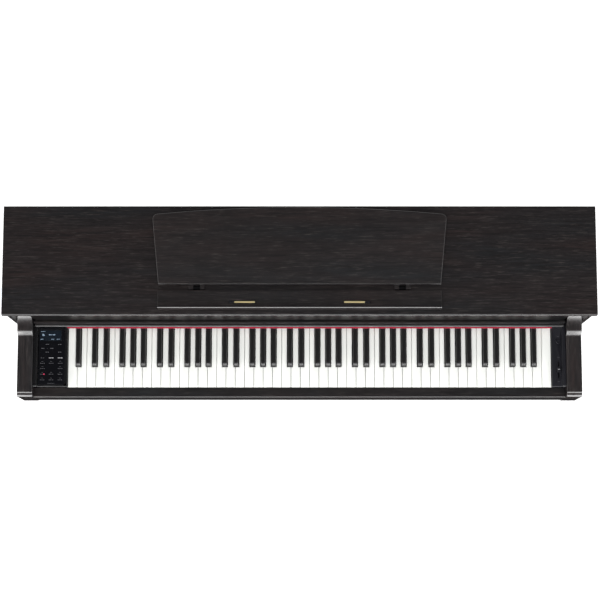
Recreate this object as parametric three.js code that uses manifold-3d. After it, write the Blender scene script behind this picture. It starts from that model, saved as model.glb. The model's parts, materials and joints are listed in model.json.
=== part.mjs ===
// A console digital piano on its panel stand: 88 keys between two arms, a sliding key cover, a
// folding music rest on the lid, and three pedals in a box between the legs.
// Millimetres. +X is the treble end, -Y faces the player, +Z is up, and the floor is Z = 0.
import * as THREE from "three";
import { mergeVertices } from "three/addons/utils/BufferGeometryUtils.js";
import Module from "manifold-3d";

const wasm = await Module();
wasm.setup();

// ---------------------------------------------------------------- driving dimensions
const overallDepth = 459; // arm fronts to the lid's back edge
const keybedHeight = 640; // floor to the keybed's underside
const gap = 0.3; // left between pieces that touch
const runningClearance = 0.4; // round a pin or a stem that moves in its hole
const slidingClearance = 1; // under the key cover and beside a stay

// keys
const naturalPitch = 23.53;
const naturalCount = 52;
const keyGap = 1; // between neighbours
const naturalVisible = 150.3;
const sharpVisible = 98.5;
const keyTail = 62; // from the cover line back to the pivot
const keyHeel = 12; // behind the pivot
const naturalThickness = 20;
const sharpRise = 12; // above the naturals
const sharpBase = 13.4;
const sharpTop = 10;
const sharpSlope = 9; // length of the sloping front
const keyTopAboveBed = 98; // from the keybed's underside
const feltShowing = 2.5; // of the felt strip, in front of the cover line
const feltClearance = 1.5; // above the sharps
const keyDip = 10; // how far a natural's front goes down
const keyFrontGap = 1.2;
const freeOctave = 4; // the octave whose keys are separate pieces

// cabinet
const leftBlockWidth = 86.6; // from the arm to the lowest key
const rightBlockWidth = 35.8;
const armWidth = 38;
const armHeight = 125; // above the keybed's underside
const armReach = 26; // the arm runs back this far inside the case side
const armPost = 8; // thickness of the arm's upright end under the lid
const armStep = 13; // rise of the step before the sweep
const armSweep = 37; // height of the sweep above the step
const sideStep = 8; // the case side stands out this far beyond the arm
const sideThickness = 20;
const sideLead = 3.5; // the case side's outer strip ahead of the case
const lidOverhang = 11.52;
const lidThickness = 20;
const lidNose = 5.3; // the lid's rounded front edge ahead of the case line
const lidRound = 6; // radius of its two front corners
const caseHeight = 265; // keybed's underside to the lid's top
const boardThickness = 12;
const keybedThickness = 15;
const keybedSetback = 12; // behind the arms' fronts
const slipDepth = 24.3;
const slipHeight = 81;
const lidSetback = 16.2; // case line under the lid, behind the cover line
const panelSetback = 3; // front panel behind the case line
const mouldingDepth = 6;
const mouldingClearance = 3; // above the key cover's top
const mouldingInset = 11; // from its end to the arm's line
const backInset = 2; // back board inside the lid's back edge

// key cover
const coverThickness = 9;
const coverDepth = 173.6;
const coverLipDepth = 12.4;
const coverLipFace = 6.4; // from its nose back to the foot of its upright face
const coverLipHeight = 34;
const coverLipDrop = 0.5; // lip below the panel's underside
const coverEndClearance = 5.5; // from the cover's end to the arm
const runnerWidth = 9;
const runnerHeight = 12; // above the end block's top
const blockRise = 7; // end block's top above the naturals

// controls
const glassThickness = 2.3;
const glassMargin = 8; // beside the keys
const glassWidth = 66.7;
const glassFrontMargin = 4;
const glassUnderCover = 1.5; // how far the glass runs in under the cover
const displayWidth = 54.6;
const displayDepth = 26.2;
const displayInset = 3; // from the glass's left edge
const displaySetback = 8; // from the glass's back edge
const buttonRadius = 6;
const buttonStand = 2.5; // above the block
const controlOffset = 18; // from the keys' end to the button and the slider
const buttonSetback = 34.6; // from the cover line to the button's centre
const sliderTravel = 16; // each way
const sliderSetback = 106; // from the cover line to the slider's centre
const sliderCap = { width: 9, depth: 14, height: 5 };
const sliderStem = { width: 2.4, depth: 8, length: 7 };
const controlDepth = 9; // how deep the hole and the slot are

// music rest
const restBottomHalf = 346;
const restTopHalf = 361.5;
const restLength = 174.5; // hinge edge to the shoulders
const restArch = 17; // crown above the shoulders
const restCorner = 14;
const restThickness = 14;
const restLift = 1; // above the lid
const ledgeDepth = 45.6;
const ledgeThickness = 12;
const lipThickness = 5;
const lipHeight = 10; // above the ledge
const lipLean = 2.6; // how far the lip's front face leans back
const ledgeSetback = 8.6; // ledge's front behind the lid's front edge
const hingeSlot = 15.5; // between the ledge and the rest
const hingeOffset = 252; // hinge centre from the middle
const hingeLugWidth = 16;
const hingeEarWidth = 11;
const hingePinRadius = 2;
const hingeEyeRadius = 5;
const stayOffset = 300;
const stayWidth = 12;
const stayThickness = 4;
const stayPivotReach = 85; // hinge axis to the stay's pivot
const stayLength = 92; // pivot to the centre of the foot
const stayEyeRadius = 4;
const stayPinRadius = 2;
const stayPocketDepth = 9;
const stayRise = 4.5; // stay's pivot above the rest's underside
const holderLength = 61;
const holderWidth = 5;
const holderThickness = 3.4;
const holderOffset = 170; // pivot from the middle
const holderSetback = 17.5; // from the ledge's front
const holderPinRadius = 1.5;
const holderPocketDepth = 5.4;
const holderSunk = 1.2; // below the ledge's top
const pinSeat = 5; // how deep a stay's pin sits in the rest
const holderPinSeat = 3;

// inside
const wooferRadius = 76;
const wooferDepth = 62;
const wooferOffset = 480;
const boardPlan = { width: 260, depth: 130, thickness: 1.6 };

// stand
const legThickness = 28;
const legAhead = 1; // leg's top in front of the case side
const legWaist = 42; // how far its front edge draws in
const footWidth = 40;
const footHeight = 58;
const footLength = 385;
const pedalBoxHeight = 88;
const pedalBoxDepth = 105;
const pedalBoxWall = 14;
const pedalBoxClearance = 60; // above the floor
const pedalBoxSetback = 30; // from the lid's back edge
const backRailHeight = 290;
const pedalPitch = 70;
const pedalWidth = 24;
const pedalReach = 100; // in front of the box
const pedalInside = 70; // box front to pivot
const pedalThickness = 7;
const pedalSlotRise = 30;
const pedalPinRadius = 4;
const pedalNeck = 13.2; // width inside the box
const pedalBearing = 6; // thickness of each plate that holds a pin
const pedalSideClearance = 2.4;
const pedalPivotRise = 30; // above the box's underside
const adjusterRadius = 26;
const adjusterNeckRadius = 13;
const adjusterStemRadius = 7.4;
const adjusterSetback = 44; // behind the box's front

// ---------------------------------------------------------------- derived levels and lines
const keyboardWidth = naturalPitch * naturalCount;
const halfInner = (leftBlockWidth + keyboardWidth + rightBlockWidth) / 2;
const xKeys = -halfInner + leftBlockWidth; // left edge of the lowest key
const xKeysEnd = xKeys + keyboardWidth;
const halfArm = halfInner + armWidth;
const halfCase = halfArm + sideStep;
const halfBetweenSides = halfCase - sideThickness - gap;
const halfLid = halfCase + lidOverhang;

const yFront = -overallDepth / 2;
const yBack = overallDepth / 2;
const yKeyFront = yFront + slipDepth + keyFrontGap + 0.5;
const yCoverLine = yKeyFront + naturalVisible;
const ySharpFront = yCoverLine - sharpVisible;
const yPivot = yCoverLine + keyTail;
const yLid = yCoverLine + lidSetback;
const yLidFront = yLid - lidNose;
const ySide = yLid - 1.5;
const yArmRear = ySide + armReach;
const yLeg = ySide - legAhead;
const yPanel = yLid + panelSetback;
const yBackBoard = yBack - backInset - boardThickness;

const zBed = keybedHeight;
const zBedTop = zBed + keybedThickness;
const zKey = zBed + keyTopAboveBed;
const zSharp = zKey + sharpRise;
const zArm = zBed + armHeight;
const zBlock = zKey + blockRise;
const zRunner = zBlock + runnerHeight;
const zCover = zRunner + slidingClearance;
const zCoverTop = zCover + coverThickness;
const zLidTop = zBed + caseHeight;
const zLid = zLidTop - lidThickness;
const zCase = zLid - gap; // tops of the boards under the lid

const yLedge = yLid + ledgeSetback;
const yLedgeBack = yLedge + ledgeDepth;
const yHinge = yLedgeBack + hingeSlot / 2;
const yRest = yLedgeBack + hingeSlot;
const zLedge = zLidTop + gap;
const zLedgeTop = zLedge + ledgeThickness - gap;
const zRest = zLidTop + restLift;
const zHinge = zLidTop + 6;

const zBox = pedalBoxClearance;
const zBoxTop = zBox + pedalBoxHeight;
const yBoxBack = yBack - pedalBoxSetback;
const yBox = yBoxBack - pedalBoxDepth;
const halfBetweenLegs = halfCase - legThickness - gap;

// ---------------------------------------------------------------- materials
const finish = (color, roughness, metalness = 0) =>
  new THREE.MeshStandardMaterial({ color, roughness, metalness });
const rosewood = finish(0x2a2422, 0.42);
const blackPlastic = finish(0x1d1d20, 0.5);
const glassBlack = finish(0x0b0c10, 0.12);
const displayBlue = finish(0x16222e, 0.2);
const ivory = finish(0xf2f1ea, 0.35);
const ebony = finish(0x202022, 0.45);
const redFelt = finish(0x9c1f35, 0.95);
const brass = finish(0xb79a55, 0.35, 0.9);
const steel = finish(0x9a9c9f, 0.4, 0.9);
const darkSteel = finish(0x3a3c40, 0.5, 0.8);
const boardGreen = finish(0x1f4a32, 0.6);
const coneBlack = finish(0x17171a, 0.8);

// ---------------------------------------------------------------- shapes
// A box between two corners.
function box(x0, x1, y0, y1, z0, z1) {
  return new THREE.BoxGeometry(x1 - x0, y1 - y0, z1 - z0).translate(
    (x0 + x1) / 2,
    (y0 + y1) / 2,
    (z0 + z1) / 2,
  );
}

// An outline of [u, v] points as a shape.
const outline = (points) => new THREE.Shape(points.map(([u, v]) => new THREE.Vector2(u, v)));

// A shape drawn in Y and Z, carried along X from x0 to x1.
function alongX(shape, x0, x1, curveSegments = 8) {
  const turn = new THREE.Matrix4().set(0, 0, 1, x0, 1, 0, 0, 0, 0, 1, 0, 0, 0, 0, 0, 1);
  return new THREE.ExtrudeGeometry(shape, {
    depth: x1 - x0,
    bevelEnabled: false,
    curveSegments,
  }).applyMatrix4(turn);
}

// A shape drawn in X and Y, carried up from z0 to z1.
function alongZ(shape, z0, z1, curveSegments = 8) {
  return new THREE.ExtrudeGeometry(shape, {
    depth: z1 - z0,
    bevelEnabled: false,
    curveSegments,
  }).translate(0, 0, z0);
}

// A cylinder on an axis along X, Y or Z, from a to b, centred at (u, v) in the other two.
function rod(axis, radius, a, b, u, v, sides = 20) {
  const g = new THREE.CylinderGeometry(radius, radius, b - a, sides);
  if (axis === "x") return g.rotateZ(Math.PI / 2).translate((a + b) / 2, u, v);
  if (axis === "y") return g.translate(u, (a + b) / 2, v);
  return g.rotateX(Math.PI / 2).translate(u, v, (a + b) / 2);
}

// A closed geometry as a solid that can be joined and cut.
function solid(geometry) {
  const bare = geometry.clone();
  bare.deleteAttribute("normal");
  bare.deleteAttribute("uv");
  const merged = mergeVertices(bare, 1e-4);
  return new wasm.Manifold(
    new wasm.Mesh({
      numProp: 3,
      vertProperties: merged.attributes.position.array,
      triVerts: new Uint32Array(merged.index.array),
    }),
  );
}

const joined = (...geometries) => geometries.map(solid).reduce((a, b) => a.add(b));
const cut = (body, ...tools) => tools.map(solid).reduce((a, b) => a.subtract(b), body);

// A solid's surface as a geometry.
function surface(body) {
  const { numProp, numVert, vertProperties, triVerts } = body.getMesh();
  const position = new Float32Array(numVert * 3);
  for (let i = 0; i < numVert; i++)
    position.set(vertProperties.subarray(i * numProp, i * numProp + 3), i * 3);
  const g = new THREE.BufferGeometry();
  g.setAttribute("position", new THREE.BufferAttribute(position, 3));
  g.setIndex(new THREE.BufferAttribute(new Uint32Array(triVerts), 1));
  g.computeVertexNormals();
  return g;
}

// Adds a named mesh to a group.
function add(group, name, shape, material) {
  const geometry = shape.isBufferGeometry ? shape : surface(shape);
  const mesh = new THREE.Mesh(geometry, material);
  mesh.name = name;
  group.add(mesh);
  return mesh;
}

const sides = [
  ["left", -1],
  ["right", 1],
];
// The X range from a to b on one side, lowest first.
const span = (sign, a, b) => (sign < 0 ? [-b, -a] : [a, b]);

// ---------------------------------------------------------------- cabinet
function makeCabinet() {
  const group = new THREE.Group();
  add(group, "top_lid", makeLid(), rosewood);
  for (const [side, sign] of sides) {
    add(group, `case_side_${side}`, makeCaseSide(sign), rosewood);
    const [a0, a1] = span(sign, halfInner, halfArm);
    add(group, `arm_${side}`, alongX(armProfile(), a0, a1), rosewood);
  }
  add(group, "front_moulding", makeMoulding(), rosewood);
  const coverClearance = zCoverTop + 5;
  add(
    group,
    "front_panel",
    box(-halfInner + gap, halfInner - gap, yPanel, yPanel + boardThickness, coverClearance, zCase),
    rosewood,
  );
  add(group, "back_board", makeBackBoard(), rosewood);
  add(group, "keybed", makeKeybed(), rosewood);
  add(group, "keyslip", makeKeyslip(), rosewood);
  return group;
}

// The lid: a board with two broad rounds along its front edge.
function makeLid() {
  const r = lidRound;
  const s = new THREE.Shape();
  s.moveTo(yBack, zLid);
  s.lineTo(yBack, zLidTop);
  s.lineTo(yLidFront + r, zLidTop);
  s.absarc(yLidFront + r, zLidTop - r, r, Math.PI / 2, Math.PI, false);
  s.lineTo(yLidFront, zLid + r);
  s.absarc(yLidFront + r, zLid + r, r, Math.PI, (3 * Math.PI) / 2, false);
  s.closePath();
  return alongX(s, -halfLid, halfLid, 9);
}

// A case side: a board behind the arm's end, with a thin strip that covers the arm's outer face.
function makeCaseSide(sign) {
  const inner = halfCase - sideThickness;
  const strip = halfArm + gap;
  const y0 = ySide - sideLead;
  const y1 = yBack - 1;
  const plan = outline([
    [sign * halfCase, y0],
    [sign * halfCase, y1],
    [sign * inner, y1],
    [sign * inner, yArmRear],
    [sign * strip, yArmRear],
    [sign * strip, y0],
  ]);
  return alongZ(plan, zBed, zCase);
}

// Side view of an arm: a flat top with a grooved round nose, a step, then a sweep up to an upright
// end under the lid. Behind the case line it stands on the keybed.
function armProfile() {
  const yBottom = ySide - gap;
  const yRear = yArmRear - gap;
  const yPost = yRear - armPost;
  const zShelf = zArm + armStep;
  const zBottom = zBedTop + gap;
  const s = new THREE.Shape();
  s.moveTo(yBottom, zBed);
  s.lineTo(yBottom, zBottom);
  s.lineTo(yRear, zBottom);
  s.lineTo(yRear, zCase);
  s.lineTo(yPost, zCase);
  s.lineTo(yPost, zShelf + armSweep);
  s.bezierCurveTo(yPost - 1, zShelf + 19, yPost - 16, zShelf + 2, yPost - 34, zShelf + 0.5);
  s.lineTo(yPost - 41, zShelf + 0.2);
  s.bezierCurveTo(yPost - 47, zShelf - 0.2, yPost - 51, zArm, yPost - 58, zArm);
  s.lineTo(yFront + 13, zArm);
  s.lineTo(yFront + 9.5, zArm - 2.6);
  s.lineTo(yFront + 5.6, zArm - 3.6);
  s.bezierCurveTo(yFront + 4.0, zArm - 4, yFront + 0.9, zArm - 7.4, yFront, zArm - 10.5);
  s.lineTo(yFront, zBed);
  s.closePath();
  return s;
}

// The strip on the front panel's face, from under the lid to just above the key cover.
function makeMoulding() {
  const y1 = yPanel - gap;
  const y0 = y1 - mouldingDepth;
  const z0 = zCoverTop + mouldingClearance;
  const s = new THREE.Shape();
  s.moveTo(y1, z0);
  s.lineTo(y1, zCase);
  s.lineTo(y0, zCase);
  s.lineTo(y0, z0 + 3);
  s.quadraticCurveTo(y0, z0, y0 + 3, z0);
  s.closePath();
  return alongX(s, -halfInner + mouldingInset, halfInner - mouldingInset, 5);
}

// Inlet's place on the back board.
const inlet = { x: 300, z: zBedTop + 40, width: 34, height: 26, flange: 6 };

function makeBackBoard() {
  const board = box(
    -halfBetweenSides,
    halfBetweenSides,
    yBackBoard,
    yBackBoard + boardThickness,
    zBed,
    zCase,
  );
  const { x, z, width, height } = inlet;
  const hole = box(x - width / 2, x + width / 2, yBackBoard - 5, yBack, z - height / 2, z + height / 2);
  return cut(solid(board), hole);
}

// The bottom board: narrow between the arms, wide between the case sides, with a round hole over
// each woofer.
function makeKeybed() {
  const xArm = halfInner - gap;
  const y0 = yFront + keybedSetback;
  const y1 = yBackBoard - gap;
  const plan = outline([
    [-xArm, y0],
    [xArm, y0],
    [xArm, ySide],
    [halfBetweenSides, ySide],
    [halfBetweenSides, y1],
    [-halfBetweenSides, y1],
    [-halfBetweenSides, ySide],
    [-xArm, ySide],
  ]);
  const holes = sides.map(([, sign]) =>
    rod("z", wooferRadius - 12, zBed - 1, zBedTop + 1, sign * wooferOffset, yWoofer(), 32),
  );
  return cut(solid(alongZ(plan, zBed, zBedTop)), ...holes);
}

// The rail in front of the keys, with a rounded top edge.
function makeKeyslip() {
  const y0 = yFront + 0.5;
  const y1 = y0 + slipDepth;
  const z0 = zBedTop + gap;
  const z1 = zBedTop + slipHeight;
  const s = new THREE.Shape();
  s.moveTo(y0, z0);
  s.lineTo(y1, z0);
  s.lineTo(y1, z1);
  s.lineTo(y0 + 4, z1);
  s.quadraticCurveTo(y0, z1, y0, z1 - 4);
  s.closePath();
  return alongX(s, -halfInner + gap, halfInner - gap, 5);
}

// ---------------------------------------------------------------- end blocks and controls
const yBlock = yKeyFront + 0.2;
const yBlockBack = yPanel - gap;
const yGlass = yBlock + glassFrontMargin;
const yGlassBack = yCoverLine + glassUnderCover;
const xGlass = xKeys - glassMargin - glassWidth;
const xControls = xKeysEnd + controlOffset;
const yButton = yCoverLine - buttonSetback;
const ySlider = yCoverLine - sliderSetback;
const glassInPocket = 0.3;

function makeControls() {
  const group = new THREE.Group();
  const zPocket = zBlock - glassThickness;
  const glassX1 = xGlass + glassWidth;

  const left = blockBody(-halfInner + gap, xKeys - keyGap, -1);
  const pocket = box(xGlass - gap, glassX1 + gap, yGlass - gap, yGlassBack + gap, zPocket, zBlock + 20);
  add(group, "end_block_left", cut(left, pocket), blackPlastic);

  const right = blockBody(xKeysEnd + keyGap, halfInner - gap, 1);
  const zWell = zBlock - controlDepth;
  const wellRadius = buttonRadius + runningClearance;
  const well = rod("z", wellRadius, zWell, zBlock + 1, xControls, yButton, 28);
  const reach = sliderTravel + sliderStem.depth / 2 + runningClearance;
  const slotHalf = sliderStem.width / 2 + runningClearance;
  const slot = box(
    xControls - slotHalf,
    xControls + slotHalf,
    ySlider - reach,
    ySlider + reach,
    zWell,
    zBlock + 1,
  );
  add(group, "end_block_right", cut(right, well, slot), blackPlastic);

  const z0 = zPocket + glassInPocket;
  const z1 = z0 + glassThickness;
  const xd0 = xGlass + displayInset;
  const yd1 = yGlassBack - displaySetback;
  const window = box(
    xd0 - gap,
    xd0 + displayWidth + gap,
    yd1 - displayDepth - gap,
    yd1 + gap,
    z0 - 1,
    z1 + 1,
  );
  const glass = solid(box(xGlass, glassX1, yGlass, yGlassBack, z0, z1));
  add(group, "control_glass", cut(glass, window), glassBlack);
  add(group, "display", box(xd0, xd0 + displayWidth, yd1 - displayDepth, yd1, z0, z1), displayBlue);

  const button = add(
    group,
    "power_button",
    rod("z", buttonRadius, buttonStand - controlDepth + 1, buttonStand, 0, 0, 28),
    blackPlastic,
  );
  button.position.set(xControls, yButton, zBlock);

  const { width, depth, height } = sliderCap;
  const cap = box(-width / 2, width / 2, -depth / 2, depth / 2, gap, height);
  const stem = box(
    -sliderStem.width / 2,
    sliderStem.width / 2,
    -sliderStem.depth / 2,
    sliderStem.depth / 2,
    -sliderStem.length,
    gap + 1,
  );
  const slider = add(group, "volume_slider", joined(cap, stem), blackPlastic);
  slider.position.set(xControls, ySlider, zBlock);
  return group;
}

// A block beside the keys: a low top, a raised rear that ends the felt strip, and a runner for the
// key cover beside the arm.
function blockBody(x0, x1, armSign) {
  const low = box(x0, x1, yBlock, yBlockBack, zBedTop + gap, zBlock);
  const rear = box(x0, x1, yGlassBack + gap, yBlockBack, zBlock - 5, zRunner);
  const [r0, r1] = armSign < 0 ? [x0, x0 + runnerWidth] : [x1 - runnerWidth, x1];
  const runner = box(r0, r1, yBlock, yBlockBack, zBlock - 5, zRunner);
  return joined(low, rear, runner);
}

// ---------------------------------------------------------------- keyboard
const letters = "ABCDEFG";
// How far each sharp's centre stands from the line between its two naturals.
const sharpShift = { A: 3, C: -2.8, D: 2.6, F: -3.7, G: 0 };
const letterOf = (i) => letters[i % 7];
// Octave numbers change at C, the third natural.
const octaveOf = (i) => Math.floor((i + 5) / 7);
const isFree = (i) => octaveOf(i) === freeOctave;
const hasSharp = (i) => i >= 0 && i < naturalCount - 1 && letterOf(i) in sharpShift;
const xNatural = (i) => xKeys + i * naturalPitch;
const xSharp = (i) => xNatural(i + 1) + sharpShift[letterOf(i)];

// A natural: full width in front, with its tail cut back beside the sharps.
function naturalSolid(i) {
  const x0 = xNatural(i) + keyGap / 2;
  const x1 = xNatural(i + 1) - keyGap / 2;
  const clear = sharpBase / 2 + keyGap;
  const tail0 = hasSharp(i - 1) ? xSharp(i - 1) + clear : x0;
  const tail1 = hasSharp(i) ? xSharp(i) - clear : x1;
  const yNotch = ySharpFront - keyGap;
  const yHeel = yPivot + keyHeel;
  const plan = [
    [x0, yKeyFront],
    [x1, yKeyFront],
    [x1, yNotch],
    [tail1, yNotch],
    [tail1, yHeel],
    [tail0, yHeel],
    [tail0, yNotch],
    [x0, yNotch],
  ];
  return solid(alongZ(outline(dropRepeats(plan)), zKey - naturalThickness, zKey));
}

// The points of a closed outline without those that repeat or lie on a straight side.
function dropRepeats(points) {
  const distinct = points.filter(([u, v], i) => {
    const [pu, pv] = points[(i + points.length - 1) % points.length];
    return Math.hypot(u - pu, v - pv) > 1e-6;
  });
  return distinct.filter(([u, v], i) => {
    const [pu, pv] = distinct[(i + distinct.length - 1) % distinct.length];
    const [nu, nv] = distinct[(i + 1) % distinct.length];
    return Math.abs((u - pu) * (nv - v) - (v - pv) * (nu - u)) > 1e-6;
  });
}

// A sharp: a straight body, a top that narrows, and a sloping front. Its heel stays above the
// naturals' heels.
function sharpSolid(i) {
  const x = xSharp(i);
  const b = sharpBase / 2;
  const yStop = yPivot + 1;
  const body = box(x - b, x + b, ySharpFront, yStop, zKey - naturalThickness, zKey + 1);
  const ySlope = ySharpFront + sharpSlope;
  const yHeel = yPivot + keyHeel;
  const top = narrowing(x, b, sharpTop / 2, ySharpFront, ySlope, yHeel, zKey + 1, zSharp);
  return joined(body, top);
}

// A bar from y0 to y1 whose half width goes from b at z0 to t at z1, with its top starting at yTop.
function narrowing(x, b, t, y0, yTop, y1, z0, z1) {
  const corners = [
    [x - b, y0, z0],
    [x + b, y0, z0],
    [x + b, y1, z0],
    [x - b, y1, z0],
    [x - t, yTop, z1],
    [x + t, yTop, z1],
    [x + t, y1, z1],
    [x - t, y1, z1],
  ];
  const quads = [
    [3, 2, 1, 0],
    [4, 5, 6, 7],
    [0, 1, 5, 4],
    [1, 2, 6, 5],
    [2, 3, 7, 6],
    [3, 0, 4, 7],
  ];
  const index = quads.flatMap(([p, q, r, s]) => [p, q, r, p, r, s]);
  const g = new THREE.BufferGeometry();
  g.setAttribute("position", new THREE.BufferAttribute(new Float32Array(corners.flat()), 3));
  g.setIndex(index);
  return g;
}

function makeKeyboard() {
  const group = new THREE.Group();
  const all = [...Array(naturalCount).keys()];
  const firstFree = all.find(isFree);
  const lastFree = all.findLast(isFree);
  const y0 = yPivot + 3;
  const y1 = yPivot + keyHeel;

  // The keys below and above the free octave, joined by a bar at their heels.
  const runs = { bass: all.slice(0, firstFree), treble: all.slice(lastFree + 1) };
  for (const [name, run] of Object.entries(runs)) {
    const last = run[run.length - 1];
    const bar = box(
      xNatural(run[0]) + keyGap,
      xNatural(last + 1) - keyGap,
      y0,
      y1,
      zKey - naturalThickness,
      zKey - 1,
    );
    const naturals = run.map(naturalSolid).reduce((a, b) => a.add(b));
    add(group, `naturals_${name}`, naturals.add(solid(bar)), ivory);
    const between = run.filter(hasSharp);
    const xLast = xSharp(between[between.length - 1]);
    const bridge = box(xSharp(between[0]), xLast, y0, y1, zKey + 2, zSharp - 1);
    const sharps = between.map(sharpSolid).reduce((a, b) => a.add(b));
    add(group, `sharps_${name}`, sharps.add(solid(bridge)), ebony);
  }
  for (const i of all.filter(isFree)) {
    add(group, `key_${letterOf(i)}${freeOctave}`, naturalSolid(i), ivory);
    if (hasSharp(i)) add(group, `key_${letterOf(i)}s${freeOctave}`, sharpSolid(i), ebony);
  }
  add(group, "key_frame", alongX(keyFrameProfile(), xKeys + 2, xKeysEnd - 2), darkSteel);
  add(
    group,
    "felt_strip",
    box(
      xKeys - keyGap + gap,
      xKeysEnd + keyGap - gap,
      yCoverLine - feltShowing,
      yBlockBack - 6,
      zSharp + feltClearance,
      zRunner - gap,
    ),
    redFelt,
  );
  return group;
}

// Side view of the frame under the keys: a plate, a front rail that stops them and a rear rail at
// their pivots.
function keyFrameProfile() {
  const z0 = zBedTop + gap;
  const plate = z0 + 4;
  const zStop = zKey - naturalThickness - keyDip - 2;
  const zRear = zKey - naturalThickness - gap;
  return outline([
    [yKeyFront + 5, z0],
    [yPivot + keyHeel, z0],
    [yPivot + keyHeel, zRear],
    [yPivot - 1, zRear],
    [yPivot - 1, plate],
    [yKeyFront + 22, plate],
    [yKeyFront + 22, zStop],
    [yKeyFront + 5, zStop],
  ]);
}

// ---------------------------------------------------------------- key cover
function makeCover() {
  const group = new THREE.Group();
  const half = halfInner - coverEndClearance;
  const yNose = yCoverLine;
  const yJoin = yNose + coverLipDepth;
  const yFace = yNose + coverLipFace;
  const z0 = zCover - coverLipDrop;
  const z1 = z0 + coverLipHeight;
  const lip = new THREE.Shape();
  lip.moveTo(yJoin, z0);
  lip.lineTo(yJoin, z1);
  lip.lineTo(yFace + 2.1, z1);
  lip.quadraticCurveTo(yFace + 0.6, z1, yFace + 0.6, z1 - 1.5);
  lip.lineTo(yFace, z0 + 15);
  lip.quadraticCurveTo(yFace - 0.2, z0 + 11.2, yNose + 4.8, z0 + 10.8);
  lip.lineTo(yNose + 3.4, z0 + 10.6);
  lip.bezierCurveTo(yNose + 2.2, z0 + 10.5, yNose + 0.3, z0 + 8.8, yNose, z0 + 6.2);
  lip.lineTo(yNose, z0 + 3);
  lip.quadraticCurveTo(yNose, z0, yNose + 3, z0);
  lip.closePath();
  add(group, "key_cover_lip", alongX(lip, -half, half, 8), rosewood);
  add(
    group,
    "key_cover_panel",
    box(-half, half, yJoin + gap, yJoin + coverDepth, zCover, zCoverTop),
    rosewood,
  );
  return group;
}

// ---------------------------------------------------------------- music rest
function makeMusicRest() {
  const group = new THREE.Group();
  const zAxis = zHinge;

  // The panel, with two ears for each hinge, a pocket for each stay and a hole for each pin.
  let panel = solid(alongZ(restOutline(), zRest, zRest + restThickness, 10));
  const stayZ = zRest + stayRise;
  const yStay = yHinge + stayPivotReach;
  for (const [side, sign] of sides) {
    const x = sign * hingeOffset;
    const lug = hingeLugWidth / 2;
    for (const ear of [-1, 1]) {
      const [e0, e1] = span(ear, lug + gap + 0.2, lug + gap + hingeEarWidth);
      const arm = box(x + e0, x + e1, yHinge, yRest + 2, zAxis - 4, zAxis + 4);
      const eye = rod("x", hingeEyeRadius - 0.5, x + e0, x + e1, yHinge, zAxis, 20);
      panel = panel.add(joined(arm, eye));
    }
    const holeLength = lug + hingeEarWidth + 2;
    const holeRadius = hingePinRadius + runningClearance;
    panel = cut(panel, rod("x", holeRadius, x - holeLength, x + holeLength, yHinge, zAxis, 20));

    const xs = sign * stayOffset;
    const half = stayWidth / 2 + slidingClearance;
    const yEnd = yStay + stayLength + stayEyeRadius + 3;
    const pocket = box(xs - half, xs + half, yStay - 7, yEnd, zRest - 1, zRest + stayPocketDepth);
    const pinHole = half + pinSeat + runningClearance;
    const bore = rod("x", stayPinRadius + runningClearance, xs - pinHole, xs + pinHole, yStay, stayZ, 16);
    panel = cut(panel, pocket, bore);

    add(group, `rest_hinge_${side}`, makeHinge(x), steel);
    add(group, `rest_stay_${side}`, makeStay(xs, yStay, stayZ), steel);
  }
  add(group, "music_rest", panel, rosewood);
  add(group, "music_ledge", makeLedge(), rosewood);
  for (const [side, sign] of sides) add(group, `page_holder_${side}`, makeHolder(sign), brass);
  return group;
}

// Plan of the rest: sides that spread towards the shoulders, round corners and a low arch.
function restOutline() {
  const yShoulder = yRest + restLength;
  const s = new THREE.Shape();
  s.moveTo(-restBottomHalf, yRest);
  s.lineTo(restBottomHalf, yRest);
  s.lineTo(restTopHalf, yShoulder - restCorner);
  s.quadraticCurveTo(restTopHalf, yShoulder, restTopHalf - restCorner, yShoulder + 1);
  s.quadraticCurveTo(0, yShoulder + 2 * restArch, -restTopHalf + restCorner, yShoulder + 1);
  s.quadraticCurveTo(-restTopHalf, yShoulder, -restTopHalf, yShoulder - restCorner);
  s.closePath();
  return s;
}

// A hinge bracket on the lid: a base, a lug round the axis, and the pin.
function makeHinge(x) {
  const lug = hingeLugWidth / 2;
  const z0 = zLidTop + gap;
  const post = box(x - lug, x + lug, yHinge - 4, yHinge + 4, z0, zHinge);
  const eye = rod("x", hingeEyeRadius, x - lug, x + lug, yHinge, zHinge, 20);
  const pinLength = lug + gap + hingeEarWidth;
  const pin = rod("x", hingePinRadius, x - pinLength, x + pinLength, yHinge, zHinge, 20);
  return joined(post, eye, pin);
}

// A stay: a flat bar with an eye and a pin at one end and a round foot at the other.
function makeStay(x, y, z) {
  const half = stayWidth / 2;
  const bar = box(x - half, x + half, y, y + stayLength, z - stayThickness / 2, z + stayThickness / 2);
  const eye = rod("x", stayEyeRadius - 0.5, x - half, x + half, y, z, 20);
  const foot = rod("x", 3, x - half, x + half, y + stayLength, z, 16);
  const reach = half + slidingClearance + pinSeat;
  const pin = rod("x", stayPinRadius, x - reach, x + reach, y, z, 16);
  return joined(bar, eye, foot, pin);
}

const yHolder = yLedge + holderSetback;
const zHolder = zLedgeTop - holderSunk - holderThickness / 2;

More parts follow.
